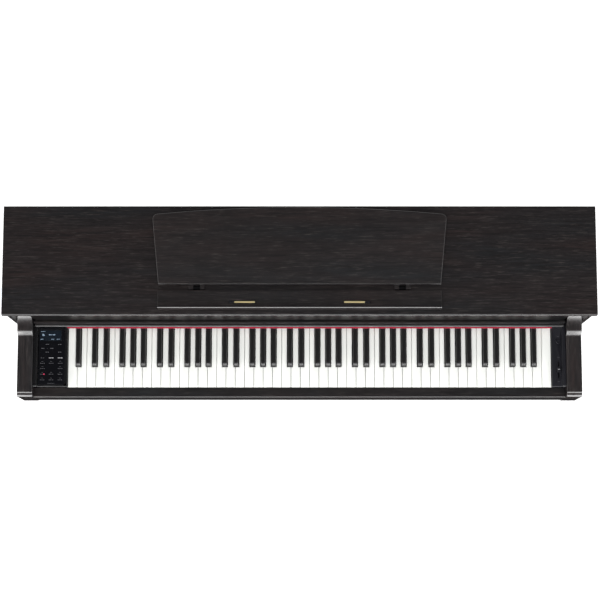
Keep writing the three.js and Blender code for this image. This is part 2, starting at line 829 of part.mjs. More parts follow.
// The ledge: a shelf with an upright lip, and a pocket with cross holes for each page holder.
function makeLedge() {
  const zLip = zLedgeTop + lipHeight;
  const yLip = yLedge + lipThickness;
  const s = new THREE.Shape();
  s.moveTo(yLedge, zLedge);
  s.lineTo(yLedgeBack, zLedge);
  s.lineTo(yLedgeBack, zLedgeTop);
  s.lineTo(yLip, zLedgeTop);
  s.lineTo(yLip, zLip - 0.7);
  s.quadraticCurveTo(yLip, zLip, yLip - 0.7, zLip);
  s.bezierCurveTo(yLedge + 3.4, zLip, yLedge + 2.1, zLip - 1.4, yLedge + lipLean - 0.7, zLip - 3.2);
  s.closePath();
  let ledge = solid(alongX(s, -restBottomHalf - 1, restBottomHalf + 1, 5));
  const halfPocket = holderWidth / 2 + 1;
  const zFloor = zLedgeTop - holderPocketDepth;
  for (const [, sign] of sides) {
    const [x0, x1] = span(sign, holderOffset - holderLength - 3, holderOffset + 4);
    const pocket = box(x0, x1, yHolder - halfPocket, yHolder + halfPocket, zFloor, zLedgeTop + 1);
    const [n0, n1] = span(sign, holderOffset - holderLength - 3, holderOffset - holderLength + 12);
    const nail = box(n0, n1, yHolder, yHolder + halfPocket + 4, zFloor + 1, zLedgeTop + 1);
    const reach = halfPocket + holderPinSeat + runningClearance;
    const radius = holderPinRadius + runningClearance;
    const bore = rod("y", radius, yHolder - reach, yHolder + reach, sign * holderOffset, zHolder, 16);
    ledge = cut(ledge, pocket, nail, bore);
  }
  return ledge;
}

// A page holder: a flat finger lying towards the middle, with an eye and a pin at its outer end.
function makeHolder(sign) {
  const half = holderWidth / 2;
  const t = holderThickness / 2;
  const [x0, x1] = span(sign, holderOffset - holderLength, holderOffset);
  const finger = box(x0, x1, yHolder - half, yHolder + half, zHolder - t, zHolder + t);
  const eye = rod("y", 2.4, yHolder - half, yHolder + half, sign * holderOffset, zHolder, 20);
  const reach = half + 1 + holderPinSeat;
  const xPin = sign * holderOffset;
  const pin = rod("y", holderPinRadius, yHolder - reach, yHolder + reach, xPin, zHolder, 16);
  return joined(finger, eye, pin);
}

// ---------------------------------------------------------------- what the cabinet holds
// Midway between the keys' heels and the back board.
function yWoofer() {
  return (yPivot + keyHeel + yBackBoard) / 2;
}

function makeInside() {
  const group = new THREE.Group();
  for (const [side, sign] of sides) {
    const woofer = add(group, `woofer_${side}`, wooferBody(), coneBlack);
    woofer.position.set(sign * wooferOffset, yWoofer(), zBedTop + gap);
  }
  const { width, depth, thickness } = boardPlan;
  const z0 = zBedTop + gap;
  const plate = box(-width / 2, width / 2, -depth / 2, depth / 2, 10, 10 + thickness);
  const posts = [-1, 1].flatMap((u) =>
    [-1, 1].map((v) => rod("z", 4, 0, 10.5, u * (width / 2 - 8), v * (depth / 2 - 8), 12)),
  );
  const sink = box(-width / 2 + 30, -width / 2 + 110, -40, -10, 11, 36);
  const chip = box(20, 56, -18, 18, 11, 15);
  const socket = box(80, 104, -30, 40, 11, 26);
  const board = add(group, "main_board", joined(plate, ...posts, sink, chip, socket), boardGreen);
  board.position.set(0, yWoofer(), z0);

  add(group, "power_inlet", makeInlet(), blackPlastic);
  add(group, "headphone_box", makeHeadphoneBox(), blackPlastic);
  add(group, "headphone_hook", makeHook(), steel);
  return group;
}

// A loudspeaker facing down: a rim, a tapering basket and a magnet, with its cone hollow below.
function wooferBody() {
  const r = wooferRadius;
  const h = wooferDepth;
  const profile = [
    [0, 22],
    [14, 18],
    [r - 16, 3],
    [r - 12, 0],
    [r, 0],
    [r, 4],
    [r - 8, 6],
    [40, h - 26],
    [40, h - 22],
    [44, h - 20],
    [44, h],
    [0, h],
  ].map(([u, v]) => new THREE.Vector2(u, v));
  return new THREE.LatheGeometry(profile, 28).rotateX(Math.PI / 2);
}

// A flanged mains inlet with a socket open to the back.
function makeInlet() {
  const { x, z, width, height, flange } = inlet;
  const w = width / 2 - gap;
  const h = height / 2 - gap;
  const yOut = yBack - backInset + gap;
  const body = box(x - w, x + w, yBackBoard - 12, yOut + 0.5, z - h, z + h);
  const rim = box(x - w - flange, x + w + flange, yOut, yOut + 1.4, z - h - flange, z + h + flange);
  const socket = box(x - w + 5, x + w - 5, yBackBoard - 8, yBack + 1, z - h + 5, z + h - 5);
  return cut(joined(body, rim), socket);
}

// The box for the headphone sockets, under the keybed at the left.
const headphone = {
  x: xKeys + 70,
  width: 96,
  depth: 70,
  height: 26,
  socketRadius: 3.3,
  socketDepth: 30,
};

function makeHeadphoneBox() {
  const { x, width, depth, height } = headphone;
  const y0 = yFront + 12;
  const z1 = zBed - gap;
  const shell = box(x - width / 2, x + width / 2, y0, y0 + depth, z1 - height, z1);
  const bosses = [-22, 22].map((u) => rod("y", 8, y0 - 3, y0 + 4, x + u, z1 - height / 2, 24));
  const bores = [-22, 22].map((u) =>
    rod("y", headphone.socketRadius, y0 - 4, y0 + headphone.socketDepth, x + u, z1 - height / 2, 20),
  );
  return cut(joined(shell, ...bosses), ...bores);
}

// A bent rod that holds the headphones: down from a plate, forward and up at the tip.
function makeHook() {
  const x = headphone.x + headphone.width / 2 + 30;
  const y = yFront + 70;
  const z1 = zBed - gap;
  const plate = box(x - 12, x + 12, y - 20, y + 20, z1 - 3, z1);
  const route = new THREE.CatmullRomCurve3(
    [
      [y + 8, z1 - 1],
      [y + 8, z1 - 22],
      [y + 2, z1 - 31],
      [y - 12, z1 - 33],
      [y - 34, z1 - 31],
      [y - 40, z1 - 24],
    ].map(([u, v]) => new THREE.Vector3(x, u, v)),
  );
  const circle = new THREE.Shape();
  circle.absarc(0, 0, 3, 0, Math.PI * 2);
  const rodShape = new THREE.ExtrudeGeometry(circle, {
    steps: 24,
    curveSegments: 5,
    extrudePath: route,
  });
  return joined(plate, rodShape);
}

// ---------------------------------------------------------------- stand
function makeStand() {
  const group = new THREE.Group();
  for (const [side, sign] of sides) {
    const [x0, x1] = span(sign, halfCase - legThickness, halfCase);
    add(group, `leg_panel_${side}`, alongX(legProfile(), x0, x1, 10), rosewood);
    const middle = sign * (halfCase - legThickness / 2);
    const half = footWidth / 2;
    add(group, `foot_${side}`, alongX(footProfile(), middle - half, middle + half, 6), rosewood);
  }
  const yRail = yBoxBack - boardThickness;
  add(
    group,
    "stand_back_rail",
    box(-halfBetweenLegs, halfBetweenLegs, yRail, yBoxBack, zBoxTop + gap, zBoxTop + backRailHeight),
    rosewood,
  );
  add(group, "pedal_box", makePedalBox(), rosewood);
  for (const [name, place] of [
    ["soft", -1],
    ["sostenuto", 0],
    ["damper", 1],
  ]) {
    const pedal = add(group, `pedal_${name}`, makePedal(), brass);
    pedal.position.set(place * pedalPitch, yPedal, zPedal);
  }
  add(group, "adjuster_foot", makeAdjuster(), blackPlastic);
  return group;
}

// Side view of a leg panel: straight at the back, drawn in towards its waist in front.
function legProfile() {
  const y1 = yBack - 1;
  const z0 = footHeight + gap;
  const z1 = zBed - gap;
  const s = new THREE.Shape();
  s.moveTo(y1, z0);
  s.lineTo(y1, z1);
  s.lineTo(yLeg, z1);
  s.quadraticCurveTo(yLeg + 2 * legWaist, (z0 + z1) / 2, yLeg, z0);
  s.closePath();
  return s;
}

// Side view of a foot: level on the floor on two pads, its front end sloping down.
function footProfile() {
  const y1 = yBack - 0.5;
  const y0 = y1 - footLength;
  const pad = 3;
  const s = new THREE.Shape();
  s.moveTo(y1, 0);
  s.lineTo(y1, footHeight);
  s.lineTo(y0 + 70, footHeight);
  s.quadraticCurveTo(y0 + 8, footHeight - 8, y0, 30);
  s.lineTo(y0, 8);
  s.quadraticCurveTo(y0, 0, y0 + 8, 0);
  s.lineTo(y0 + 48, 0);
  s.lineTo(y0 + 52, pad);
  s.lineTo(y1 - 52, pad);
  s.lineTo(y1 - 48, 0);
  s.closePath();
  return s;
}

const zPedal = zBox + pedalPivotRise;
const yPedal = yBox + pedalInside;

// A channel open at the back, with a slot in its front for each pedal.
function makePedalBox() {
  const wall = pedalBoxWall;
  const shell = box(-halfBetweenLegs, halfBetweenLegs, yBox, yBoxBack, zBox, zBoxTop);
  const inside = box(
    -halfBetweenLegs + wall,
    halfBetweenLegs - wall,
    yBox + wall,
    yBoxBack + 1,
    zBox + wall,
    zBoxTop - wall,
  );
  const half = pedalWidth / 2 + 3;
  const slots = [-1, 0, 1].map((place) =>
    box(
      place * pedalPitch - half,
      place * pedalPitch + half,
      yBox - 1,
      yBox + wall + 1,
      zPedal - pedalSlotRise / 2 - 3,
      zPedal + pedalSlotRise / 2,
    ),
  );
  const tappedRadius = adjusterStemRadius + runningClearance;
  const tapped = rod("z", tappedRadius, zBox - 1, zBox + wall + 1, 0, yAdjuster, 20);
  const hollow = cut(solid(shell), inside, ...slots, tapped);
  const bores = [-1, 0, 1].map((place) => {
    const x = place * pedalPitch;
    const radius = pedalPinRadius + runningClearance;
    return rod("x", radius, x - pedalPitch / 2, x + pedalPitch / 2, yPedal, zPedal, 20);
  });
  return cut(hollow.add(pedalBearings()), ...bores);
}

// Two upright plates beside each pedal, standing on the box's floor.
function pedalBearings() {
  const inner = pedalNeck / 2 + pedalSideClearance;
  const plates = [-1, 0, 1].flatMap((place) =>
    [-1, 1].map((sign) => {
      const [x0, x1] = span(sign, inner, inner + pedalBearing);
      const x = place * pedalPitch;
      const y0 = yBox + pedalBoxWall + 2;
      return box(x + x0, x + x1, y0, yPedal + 12, zBox + pedalBoxWall - 1, zPedal + 12);
    }),
  );
  return joined(...plates);
}

// A pedal about its own pivot: a lever through the box's front that widens into a rounded blade.
function makePedal() {
  const reach = pedalInside + pedalReach;
  const t = pedalThickness / 2;
  const half = pedalWidth / 2;
  const neck = pedalNeck / 2;
  const plan = new THREE.Shape();
  plan.moveTo(neck, 12);
  plan.lineTo(-neck, 12);
  plan.lineTo(-neck, -pedalInside + 4);
  plan.quadraticCurveTo(-neck, -pedalInside - 14, -half, -pedalInside - 34);
  plan.lineTo(-half, -reach + half);
  plan.absarc(0, -reach + half, half, Math.PI, Math.PI * 2);
  plan.lineTo(half, -pedalInside - 34);
  plan.quadraticCurveTo(neck, -pedalInside - 14, neck, -pedalInside + 4);
  plan.closePath();
  const pinReach = neck + pedalSideClearance + pedalBearing;
  const pin = rod("x", pedalPinRadius, -pinReach, pinReach, 0, 0, 20);
  return joined(alongZ(plan, -t, t, 10), pin);
}

const yAdjuster = yBox + adjusterSetback;

// A levelling foot under the pedal box: a knurled disc and its threaded stem.
function makeAdjuster() {
  const disc = rod("z", adjusterRadius, 0, 14, 0, yAdjuster, 32);
  const neck = rod("z", adjusterNeckRadius, 13, pedalBoxClearance - 8, 0, yAdjuster, 24);
  const stem = rod("z", adjusterStemRadius, 13, pedalBoxClearance + pedalBoxWall, 0, yAdjuster, 20);
  return joined(disc, neck, stem);
}

// ---------------------------------------------------------------- assembly
const piano = new THREE.Group();
piano.add(makeCabinet(), makeControls(), makeKeyboard(), makeCover());
piano.add(makeMusicRest(), makeInside(), makeStand());

export default piano;
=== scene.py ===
"""Looks for a console digital piano: rosewood boards, keys, controls, brass and a studio.

Everything is in metres in the frame's own axes: +X treble, -Y player, +Z up.
"""
import json
import math

import bmesh
import bpy
import numpy as np
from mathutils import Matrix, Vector

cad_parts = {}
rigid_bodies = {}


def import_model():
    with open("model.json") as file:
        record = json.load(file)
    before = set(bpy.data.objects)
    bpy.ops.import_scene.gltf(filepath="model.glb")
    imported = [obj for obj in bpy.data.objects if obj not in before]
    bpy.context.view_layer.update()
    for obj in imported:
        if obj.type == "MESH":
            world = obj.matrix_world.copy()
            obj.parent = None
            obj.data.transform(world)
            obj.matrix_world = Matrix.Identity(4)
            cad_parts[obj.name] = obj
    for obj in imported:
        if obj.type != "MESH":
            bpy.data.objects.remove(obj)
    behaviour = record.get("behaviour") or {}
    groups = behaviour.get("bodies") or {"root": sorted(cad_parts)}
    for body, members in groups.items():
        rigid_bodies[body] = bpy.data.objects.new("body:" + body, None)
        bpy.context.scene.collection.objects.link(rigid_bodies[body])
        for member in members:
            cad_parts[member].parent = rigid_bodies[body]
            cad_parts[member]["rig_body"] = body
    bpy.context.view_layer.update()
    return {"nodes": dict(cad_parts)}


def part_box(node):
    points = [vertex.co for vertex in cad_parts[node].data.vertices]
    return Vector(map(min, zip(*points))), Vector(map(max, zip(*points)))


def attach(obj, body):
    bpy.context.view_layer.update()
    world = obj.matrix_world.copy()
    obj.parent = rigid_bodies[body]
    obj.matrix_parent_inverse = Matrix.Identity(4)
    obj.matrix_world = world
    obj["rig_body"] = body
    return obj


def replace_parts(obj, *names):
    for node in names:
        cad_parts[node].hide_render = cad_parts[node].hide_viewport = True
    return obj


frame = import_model()
NODES = frame["nodes"]
MM = 0.001
SLACK = 1e-5  # two positions nearer than this count as one

# ---------------------------------------------------------------- camera
CAMERA_PLACE = (0.0011, -0.5985, 5.1325)
CAMERA_LEAN = math.radians(8)
CAMERA_LENS = 104.55


def make_camera():
    """A camera above the player, leaning forwards from straight down."""
    data = bpy.data.cameras.new("camera")
    data.lens = CAMERA_LENS
    data.sensor_width = 36
    camera = bpy.data.objects.new("camera", data)
    camera.location = CAMERA_PLACE
    camera.rotation_euler = (CAMERA_LEAN, 0, 0)
    bpy.context.scene.collection.objects.link(camera)
    bpy.context.scene.camera = camera


make_camera()


# ---------------------------------------------------------------- shader sums
class Wire:
    """A socket in a material's tree. Sums of wires add Math nodes."""

    def __init__(self, tree, socket):
        self.tree = tree
        self.socket = socket

    def _sum(self, operation, first, second):
        node = self.tree.nodes.new("ShaderNodeMath")
        node.operation = operation
        for socket, value in zip(node.inputs, (first, second)):
            plug(self.tree, socket, value)
        return Wire(self.tree, node.outputs[0])

    def __add__(self, other):
        return self._sum("ADD", self, other)

    def __sub__(self, other):
        return self._sum("SUBTRACT", self, other)

    def __mul__(self, other):
        return self._sum("MULTIPLY", self, other)

    def __rsub__(self, other):
        return self._sum("SUBTRACT", other, self)

    def __gt__(self, other):
        return self._sum("GREATER_THAN", self, other)

    __radd__ = __add__
    __rmul__ = __mul__


def plug(tree, socket, value):
    """Links a wire to a socket, or sets the socket's own value."""
    if isinstance(value, Wire):
        tree.links.new(value.socket, socket)
    else:
        socket.default_value = value


class Finish:
    """A material or a sky under construction: its tree and its main shader."""

    def __init__(self, name, **constants):
        self.material = bpy.data.materials.new(name)
        self.material.use_nodes = True
        self.tree = self.material.node_tree
        self.shader = self.tree.nodes["Principled BSDF"]
        for socket, value in constants.items():
            self.set(socket.replace("_", " "), value)

    def set(self, socket, value):
        """Gives one of the shader's sockets a constant or a wire."""
        plug(self.tree, self.shader.inputs[socket], value)

    def node(self, kind, output, settings=None, **sockets):
        """Adds a node: its settings first, then its sockets, and gives the named output."""
        node = self.tree.nodes.new("ShaderNode" + kind)
        for name, value in (settings or {}).items():
            setattr(node, name, value)
        for name, value in sockets.items():
            plug(self.tree, node.inputs[name.replace("_", " ")], value)
        return Wire(self.tree, node.outputs[output])

    def place(self):
        """The point's own coordinates on the object, in metres."""
        return self.node("TexCoord", "Object")

    def stretched(self, scale, turn=(0, 0, 0)):
        """Object coordinates scaled along each axis."""
        return self.node("Mapping", "Vector", Vector=self.place(), Scale=scale, Rotation=turn)

    def noise(self, where, scale=1.0, detail=4.0, roughness=0.55, distortion=0.0):
        """Fractal noise from 0 to 1."""
        return self.node(
            "TexNoise", "Fac", Vector=where, Scale=scale, Detail=detail,
            Roughness=roughness, Distortion=distortion,
        )

    def ramp(self, value, stops):
        """A colour for each stop's place along the value."""
        node = self.tree.nodes.new("ShaderNodeValToRGB")
        band = node.color_ramp
        while len(band.elements) < len(stops):
            band.elements.new(0.5)
        for element, (place, colour) in zip(band.elements, stops):
            element.position = place
            element.color = (*colour, 1)
        plug(self.tree, node.inputs[0], value)
        return Wire(self.tree, node.outputs[0])

    def blend(self, factor, first, second):
        """Goes from the first colour to the second as the factor goes from 0 to 1."""
        node = self.tree.nodes.new("ShaderNodeMix")
        node.data_type = "RGBA"
        for socket, value in zip((node.inputs[0], node.inputs[6], node.inputs[7]), (factor, first, second)):
            plug(self.tree, socket, value if isinstance(value, (Wire, float, int)) else (*value, 1))
        return Wire(self.tree, node.outputs[2])

    def bump(self, height, strength, distance):
        """Raises the surface by a height from 0 to 1, in metres at full height."""
        normal = self.node("Bump", "Normal", Height=height, Strength=strength, Distance=distance)
        self.set("Normal", normal)


# ---------------------------------------------------------------- finishes
def rosewood(name, grain, shade=1.0, gloss=1.0, sheen=0.40):
    """Dark rosewood film: long streaks and short pores along one axis, under a satin lacquer.

    Grain is 0, 1 or 2 for streaks along X, Y or Z. Shade darkens it; the darkest copy is painted
    shade for dim faces. Gloss thickens the lacquer and sheen is the film's own shine.
    """
    f = Finish(name, Coat_IOR=1.5, Coat_Roughness=0.17, Specular_IOR_Level=sheen)

    def tone(*parts):
        return tuple(part * shade for part in parts)

    def along(slow, fast):
        scale = [fast, fast, fast]
        scale[grain] = slow
        return f.stretched(tuple(scale))

    cloud = f.noise(along(2.2, 11.0), 1.0, 3.0, 0.5, 0.5)
    streak = f.noise(along(9.0, 190.0), 1.0, 5.0, 0.66, 0.35)
    fibre = f.noise(along(30.0, 520.0), 1.0, 3.0, 0.62)
    pore = f.noise(along(46.0, 1500.0), 1.0, 2.0, 0.5)
    tint = f.blend(cloud * 3.0 - 1.0, tone(0.0118, 0.0127, 0.0140), tone(0.0195, 0.0136, 0.0130))
    dark = f.blend(streak * 3.0 - 1.0, tone(0.0075, 0.0066, 0.0070), tint)
    colour = f.blend(fibre * 4.2 - 2.35, dark, tone(0.0450, 0.0390, 0.0365))
    pores = (pore > 0.64) * 1.0
    f.set("Base Color", f.blend(pores * 0.6, colour, tone(0.0045, 0.0038, 0.0040)))
    f.set("Roughness", streak * 0.12 + fibre * 0.10 + 0.27)
    f.set("Coat Weight", (0.34 - pores * 0.25) * gloss)
    f.bump(fibre * 0.5 - pores * 0.5 + 0.5, 0.25, 0.0001)
    return f.material


def moulded(name, colour, roughness=0.5, grain=0.00006, fleck=0.15):
    """Spark-eroded plastic: a fine even texture with a slightly mottled sheen."""
    f = Finish(name, Specular_IOR_Level=0.42)
    texture = f.noise(f.place(), 2600.0, 2.0, 0.6)
    wear = f.noise(f.place(), 18.0, 4.0, 0.55)
    bright = tuple(c * (1 + fleck * 2) for c in colour)
    dark = tuple(c * (1 - fleck) for c in colour)
    f.set("Base Color", f.blend(wear * 0.6 + texture * 0.4, dark, bright))
    f.set("Roughness", wear * 0.16 + (roughness - 0.08))
    f.bump(texture, 0.3, grain)
    return f.material


def keytop(name, light, dark, roughness):
    """Synthetic key covering: faint long grain and a soft handled sheen."""
    f = Finish(name, Specular_IOR_Level=0.45)
    grain = f.noise(f.stretched((900.0, 26.0, 900.0)), 1.0, 3.0, 0.6)
    cloud = f.noise(f.place(), 9.0, 3.0, 0.5)
    f.set("Base Color", f.blend(grain * 0.5 + cloud * 0.5, dark, light))
    f.set("Roughness", cloud * 0.14 + grain * 0.08 + (roughness - 0.1))
    f.bump(grain, 0.18, 0.00004)
    return f.material


def ebony():
    """Matt black sharp with a fine lengthwise grain."""
    f = Finish("sharp_black", Specular_IOR_Level=0.5)
    grain = f.noise(f.stretched((1500.0, 45.0, 1500.0)), 1.0, 4.0, 0.6)
    cloud = f.noise(f.place(), 30.0, 3.0, 0.5)
    f.set("Base Color", f.blend(grain, (0.0035, 0.0035, 0.0040), (0.0105, 0.0100, 0.0100)))
    f.set("Roughness", cloud * 0.12 + grain * 0.12 + 0.26)
    f.bump(grain, 0.28, 0.00005)
    return f.material


def glass():
    """Glossy black touch glass with faint smears."""
    f = Finish("touch_glass", Coat_Weight=0.6, Coat_Roughness=0.04, Specular_IOR_Level=0.5)
    smear = f.noise(f.stretched((30.0, 60.0, 30.0)), 1.0, 4.0, 0.6, 1.2)
    speck = f.noise(f.place(), 900.0, 2.0, 0.5)
    f.set("Base Color", f.blend(smear, (0.0010, 0.0011, 0.0020), (0.0032, 0.0035, 0.0055)))
    f.set("Roughness", smear * 0.16 + 0.05)
    f.bump(speck, 0.05, 0.00002)
    return f.material


def display_glow():
    """A dim blue liquid-crystal window, with its cell grid and an uneven back light."""
    f = Finish("display_blue", Coat_Weight=0.5, Coat_Roughness=0.05, Emission_Strength=0.10)
    cells = f.noise(f.place(), 3200.0, 1.0, 0.4)
    cloud = f.noise(f.place(), 60.0, 3.0, 0.5)
    tone = f.blend(cells * 0.3 + cloud * 0.7, (0.0028, 0.0054, 0.0086), (0.0070, 0.0128, 0.0200))
    f.set("Base Color", tone)
    f.set("Emission Color", tone)
    f.set("Roughness", cloud * 0.1 + 0.12)
    return f.material


def print_ink(name, colour, strength):
    """Printed marks that glow a little, with a soft uneven edge."""
    f = Finish(name, Emission_Strength=strength)
    mottle = f.noise(f.place(), 700.0, 2.0, 0.5)
    tone = f.blend(mottle, tuple(c * 0.62 for c in colour), colour)
    f.set("Base Color", tone)
    f.set("Emission Color", tone)
    f.set("Roughness", mottle * 0.2 + 0.3)
    return f.material


def felt():
    """Pressed crimson felt: matted fibres with a soft nap."""
    f = Finish("crimson_felt", Sheen_Weight=0.2, Sheen_Roughness=0.5, Specular_IOR_Level=0.1)
    mat = f.noise(f.place(), 2400.0, 5.0, 0.7, 1.5)
    patch = f.noise(f.place(), 45.0, 3.0, 0.5)
    f.set("Base Color", f.blend(mat * 0.65 + patch * 0.35, (0.15, 0.004, 0.016), (0.45, 0.014, 0.045)))
    f.set("Roughness", mat * 0.1 + 0.86)
    f.bump(mat, 0.7, 0.0003)
    return f.material


def metal(name, light, dark, roughness, brushed=(1, 1, 1), lines=0.25, body=1.0):
    """Drawn or brushed metal: fine lines one way, and patches of handled sheen."""
    f = Finish(name, Metallic=body)
    line = f.noise(f.stretched(tuple(b * 420.0 for b in brushed)), 1.0, 3.0, 0.6)
    patch = f.noise(f.place(), 24.0, 4.0, 0.55)
    f.set("Base Color", f.blend(line * 0.4 + patch * 0.6, dark, light))
    f.set("Roughness", patch * 0.18 + line * 0.08 + (roughness - 0.1))
    f.bump(line, lines, 0.00003)
    return f.material


def painted_metal(name, colour, roughness=0.45, gloss=0.45):
    """Powder coat with an orange-peel surface."""
    f = Finish(name, Specular_IOR_Level=gloss)
    peel = f.noise(f.place(), 480.0, 3.0, 0.55)
    patch = f.noise(f.place(), 14.0, 3.0, 0.5)
    f.set("Base Color", f.blend(patch, tuple(c * 0.8 for c in colour), tuple(c * 1.25 for c in colour)))
    f.set("Roughness", patch * 0.14 + peel * 0.08 + (roughness - 0.1))
    f.bump(peel, 0.25, 0.0001)
    return f.material


def circuit_green():
    """Solder mask with buried tracks."""
    f = Finish("solder_mask", Coat_Weight=0.5, Coat_Roughness=0.2)
    cell = f.node("TexVoronoi", "Distance", {"feature": "F1"}, Vector=f.place(), Scale=190.0)
    patch = f.noise(f.place(), 60.0, 3.0, 0.5)
    f.set("Base Color", f.blend((cell > 0.42) * 1.0, (0.008, 0.055, 0.022), (0.030, 0.120, 0.050)))
    f.set("Roughness", patch * 0.2 + 0.3)
    f.bump(cell, 0.2, 0.00006)
    return f.material


def grille_cloth():
    """Black loudspeaker cloth: a crossed weave of fine threads."""
    f = Finish("speaker_cloth", Sheen_Weight=0.2, Specular_IOR_Level=0.15)
    warp = f.noise(f.stretched((1700.0, 90.0, 90.0)), 1.0, 1.0, 0.5)
    weft = f.noise(f.stretched((90.0, 1700.0, 90.0)), 1.0, 1.0, 0.5)
    weave = warp * weft * 2.0
    f.set("Base Color", f.blend(weave, (0.004, 0.004, 0.004), (0.030, 0.030, 0.031)))
    f.set("Roughness", weave * 0.1 + 0.84)
    f.bump(weave, 0.6, 0.0002)
    return f.material


WOOD_X = rosewood("rosewood_across", 0)
WOOD_Y = rosewood("rosewood_front_to_back", 1)
WOOD_Z = rosewood("rosewood_upright", 2)
WOOD_LID = rosewood("rosewood_lid", 0, 1.12, 0.95, 0.14)
# Painted shade: a copy at a third of the colour for the front panel and its moulding, which lie dim under
# the lid.
WOOD_PAINTED_SHADE = rosewood("rosewood_painted_shade", 0, 0.32, 0.10, 0.05)
WOOD_LIP = rosewood("rosewood_lip", 0, 1.0, 0.12, 0.05)
WOOD_EDGE = rosewood("rosewood_polished", 0, 1.12, 2.7, 0.25)
WOOD_ARM = rosewood("rosewood_arm", 1, 1.25, 1.8)
BLACK = moulded("black_plastic", (0.0092, 0.0092, 0.0122), 0.36)
PANEL_BLACK = moulded("panel_black", (0.0050, 0.0050, 0.0056), 0.27)
RUBBER = moulded("foot_rubber", (0.012, 0.012, 0.012), 0.75, 0.00012)
IVORY = keytop("natural_white", (0.895, 0.905, 0.872), (0.825, 0.838, 0.80), 0.42)
EBONY = ebony()
GLASS = glass()
DISPLAY = display_glow()
MARK_GREY = print_ink("mark_grey", (0.115, 0.115, 0.125), 0.05)
MARK_BRIGHT = print_ink("mark_bright", (0.40, 0.40, 0.41), 0.10)
MARK_ICE = print_ink("display_ink", (0.24, 0.33, 0.42), 0.25)
LAMP_RED = print_ink("lamp_red", (0.62, 0.035, 0.10), 0.6)
FELT = felt()
BRASS = metal("brass", (0.88, 0.76, 0.42), (0.70, 0.56, 0.27), 0.34, (0.1, 2.0, 2.0), 0.25, 0.55)
STEEL = metal("bright_steel", (0.72, 0.72, 0.73), (0.50, 0.50, 0.52), 0.34, (2.0, 0.1, 2.0))
DARK_STEEL = painted_metal("dark_steel", (0.030, 0.031, 0.034))
# Painted shade: the hinges are near black so that they sink into the shadowed slot behind the music rest.
HINGE_PAINTED_SHADE = painted_metal("hinge_painted_shade", (0.0022, 0.0022, 0.0025), 0.85, 0.15)
GREEN = circuit_green()
CLOTH = grille_cloth()


# ---------------------------------------------------------------- mesh tools
def new_piece(name, points, faces, body, slot, material, smooth=True):
    """Makes a closed mesh from points and faces, dresses it and puts it on its body."""
    mesh = bpy.data.meshes.new(name)
    mesh.from_pydata(points.tolist(), [], faces)
    mesh.materials.append(material)
    if smooth:
        mesh.shade_smooth()
        mesh.set_sharp_from_angle(angle=math.radians(38))
    piece = bpy.data.objects.new(name, mesh)
    bpy.context.scene.collection.objects.link(piece)
    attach(piece, body)
    return piece


def closed_stack(rings):
    """Faces of a tube through rings of equal length, with a flat face at each end."""
    levels, count, _ = rings.shape
    step = np.arange(count)
    after = (step + 1) % count
    base = np.arange(levels - 1)[:, None] * count
    walls = np.stack([base + step, base + after, base + count + after, base + count + step], axis=-1)
    faces = walls.reshape(-1, 4).tolist()
    faces.append(step[::-1].tolist())
    faces.append((step + (levels - 1) * count).tolist())
    return faces


def gather(parts):
    """Joins several (points, faces) shells into one list of points and one of faces."""
    points, faces, start = [], [], 0
    for p, f in parts:
        points.append(p)
        faces += [[i + start for i in face] for face in f]
        start += len(p)
    return np.concatenate(points), faces


def inward(outline):
    """At each corner of an anticlockwise outline, the step that moves both its sides in by one."""
    before = outline - np.roll(outline, 1, axis=0)
    after = np.roll(outline, -1, axis=0) - outline
    n0 = np.stack([-before[:, 1], before[:, 0]], 1) / np.linalg.norm(before, axis=1)[:, None]
    n1 = np.stack([-after[:, 1], after[:, 0]], 1) / np.linalg.norm(after, axis=1)[:, None]
    middle = n0 + n1
    return middle / np.maximum(np.einsum("ij,ij->i", middle, n0), 0.25)[:, None]


def anticlockwise(outline):
    """The outline turned so that its signed area is positive."""
    x, y = outline[:, 0], outline[:, 1]
    area = np.sum(x * np.roll(y, -1) - y * np.roll(x, -1))
    return outline if area > 0 else outline[::-1]


def eased_prism(outline, low, high, ease=0.0012, steps=3):
    """Rings of a prism whose two end edges are rounded.

    At angle a round an edge, the outline is drawn in by ease times (1 - cos a) and its level
    stands ease times (1 - sin a) from the end.
    """
    outline = anticlockwise(np.asarray(outline, float))
    turn = np.linspace(math.pi / 2, 0, steps + 1)
    drawn = ease * (1 - np.cos(turn))
    level = ease * (1 - np.sin(turn))
    drawn = np.concatenate([drawn, drawn[::-1]])
    level = np.concatenate([low + level, high - level[::-1]])
    step = inward(outline)
    flat = outline[None] + step[None] * drawn[:, None, None]
    heights = np.broadcast_to(level[:, None, None], (*flat.shape[:2], 1))
    return np.concatenate([flat, heights], axis=2)


# Where a prism's two outline directions and its length go, as columns of (X, Y, Z).
ALONG = {
    "x": lambda r: np.stack([r[..., 2], r[..., 0], r[..., 1]], -1),
    "y": lambda r: np.stack([r[..., 1], r[..., 2], r[..., 0]], -1),
    "z": lambda r: r,
}


def prism(outline, axis, low, high, ease=0.0012, steps=3):
    """(points, faces) of an eased prism along an axis. The outline is (Y, Z), (Z, X) or (X, Y)."""
    rings = ALONG[axis](eased_prism(outline, low, high, ease, steps))
    return rings.reshape(-1, 3), closed_stack(rings)


def rounded_box(u0, u1, v0, v1, radius, steps=4):
    """An outline of a rectangle with quarter circles at its corners."""
    turn = np.linspace(0, math.pi / 2, steps + 1)
    corners = [(u1, v1, 0), (u0, v1, 1), (u0, v0, 2), (u1, v0, 3)]
    points = []
    for u, v, quarter in corners:
        centre_u = u - radius if u == u1 else u + radius
        centre_v = v - radius if v == v1 else v + radius
        angle = turn + quarter * math.pi / 2
        arc = np.stack([centre_u + radius * np.cos(angle), centre_v + radius * np.sin(angle)], 1)
        points.append(arc)
    return np.concatenate(points)


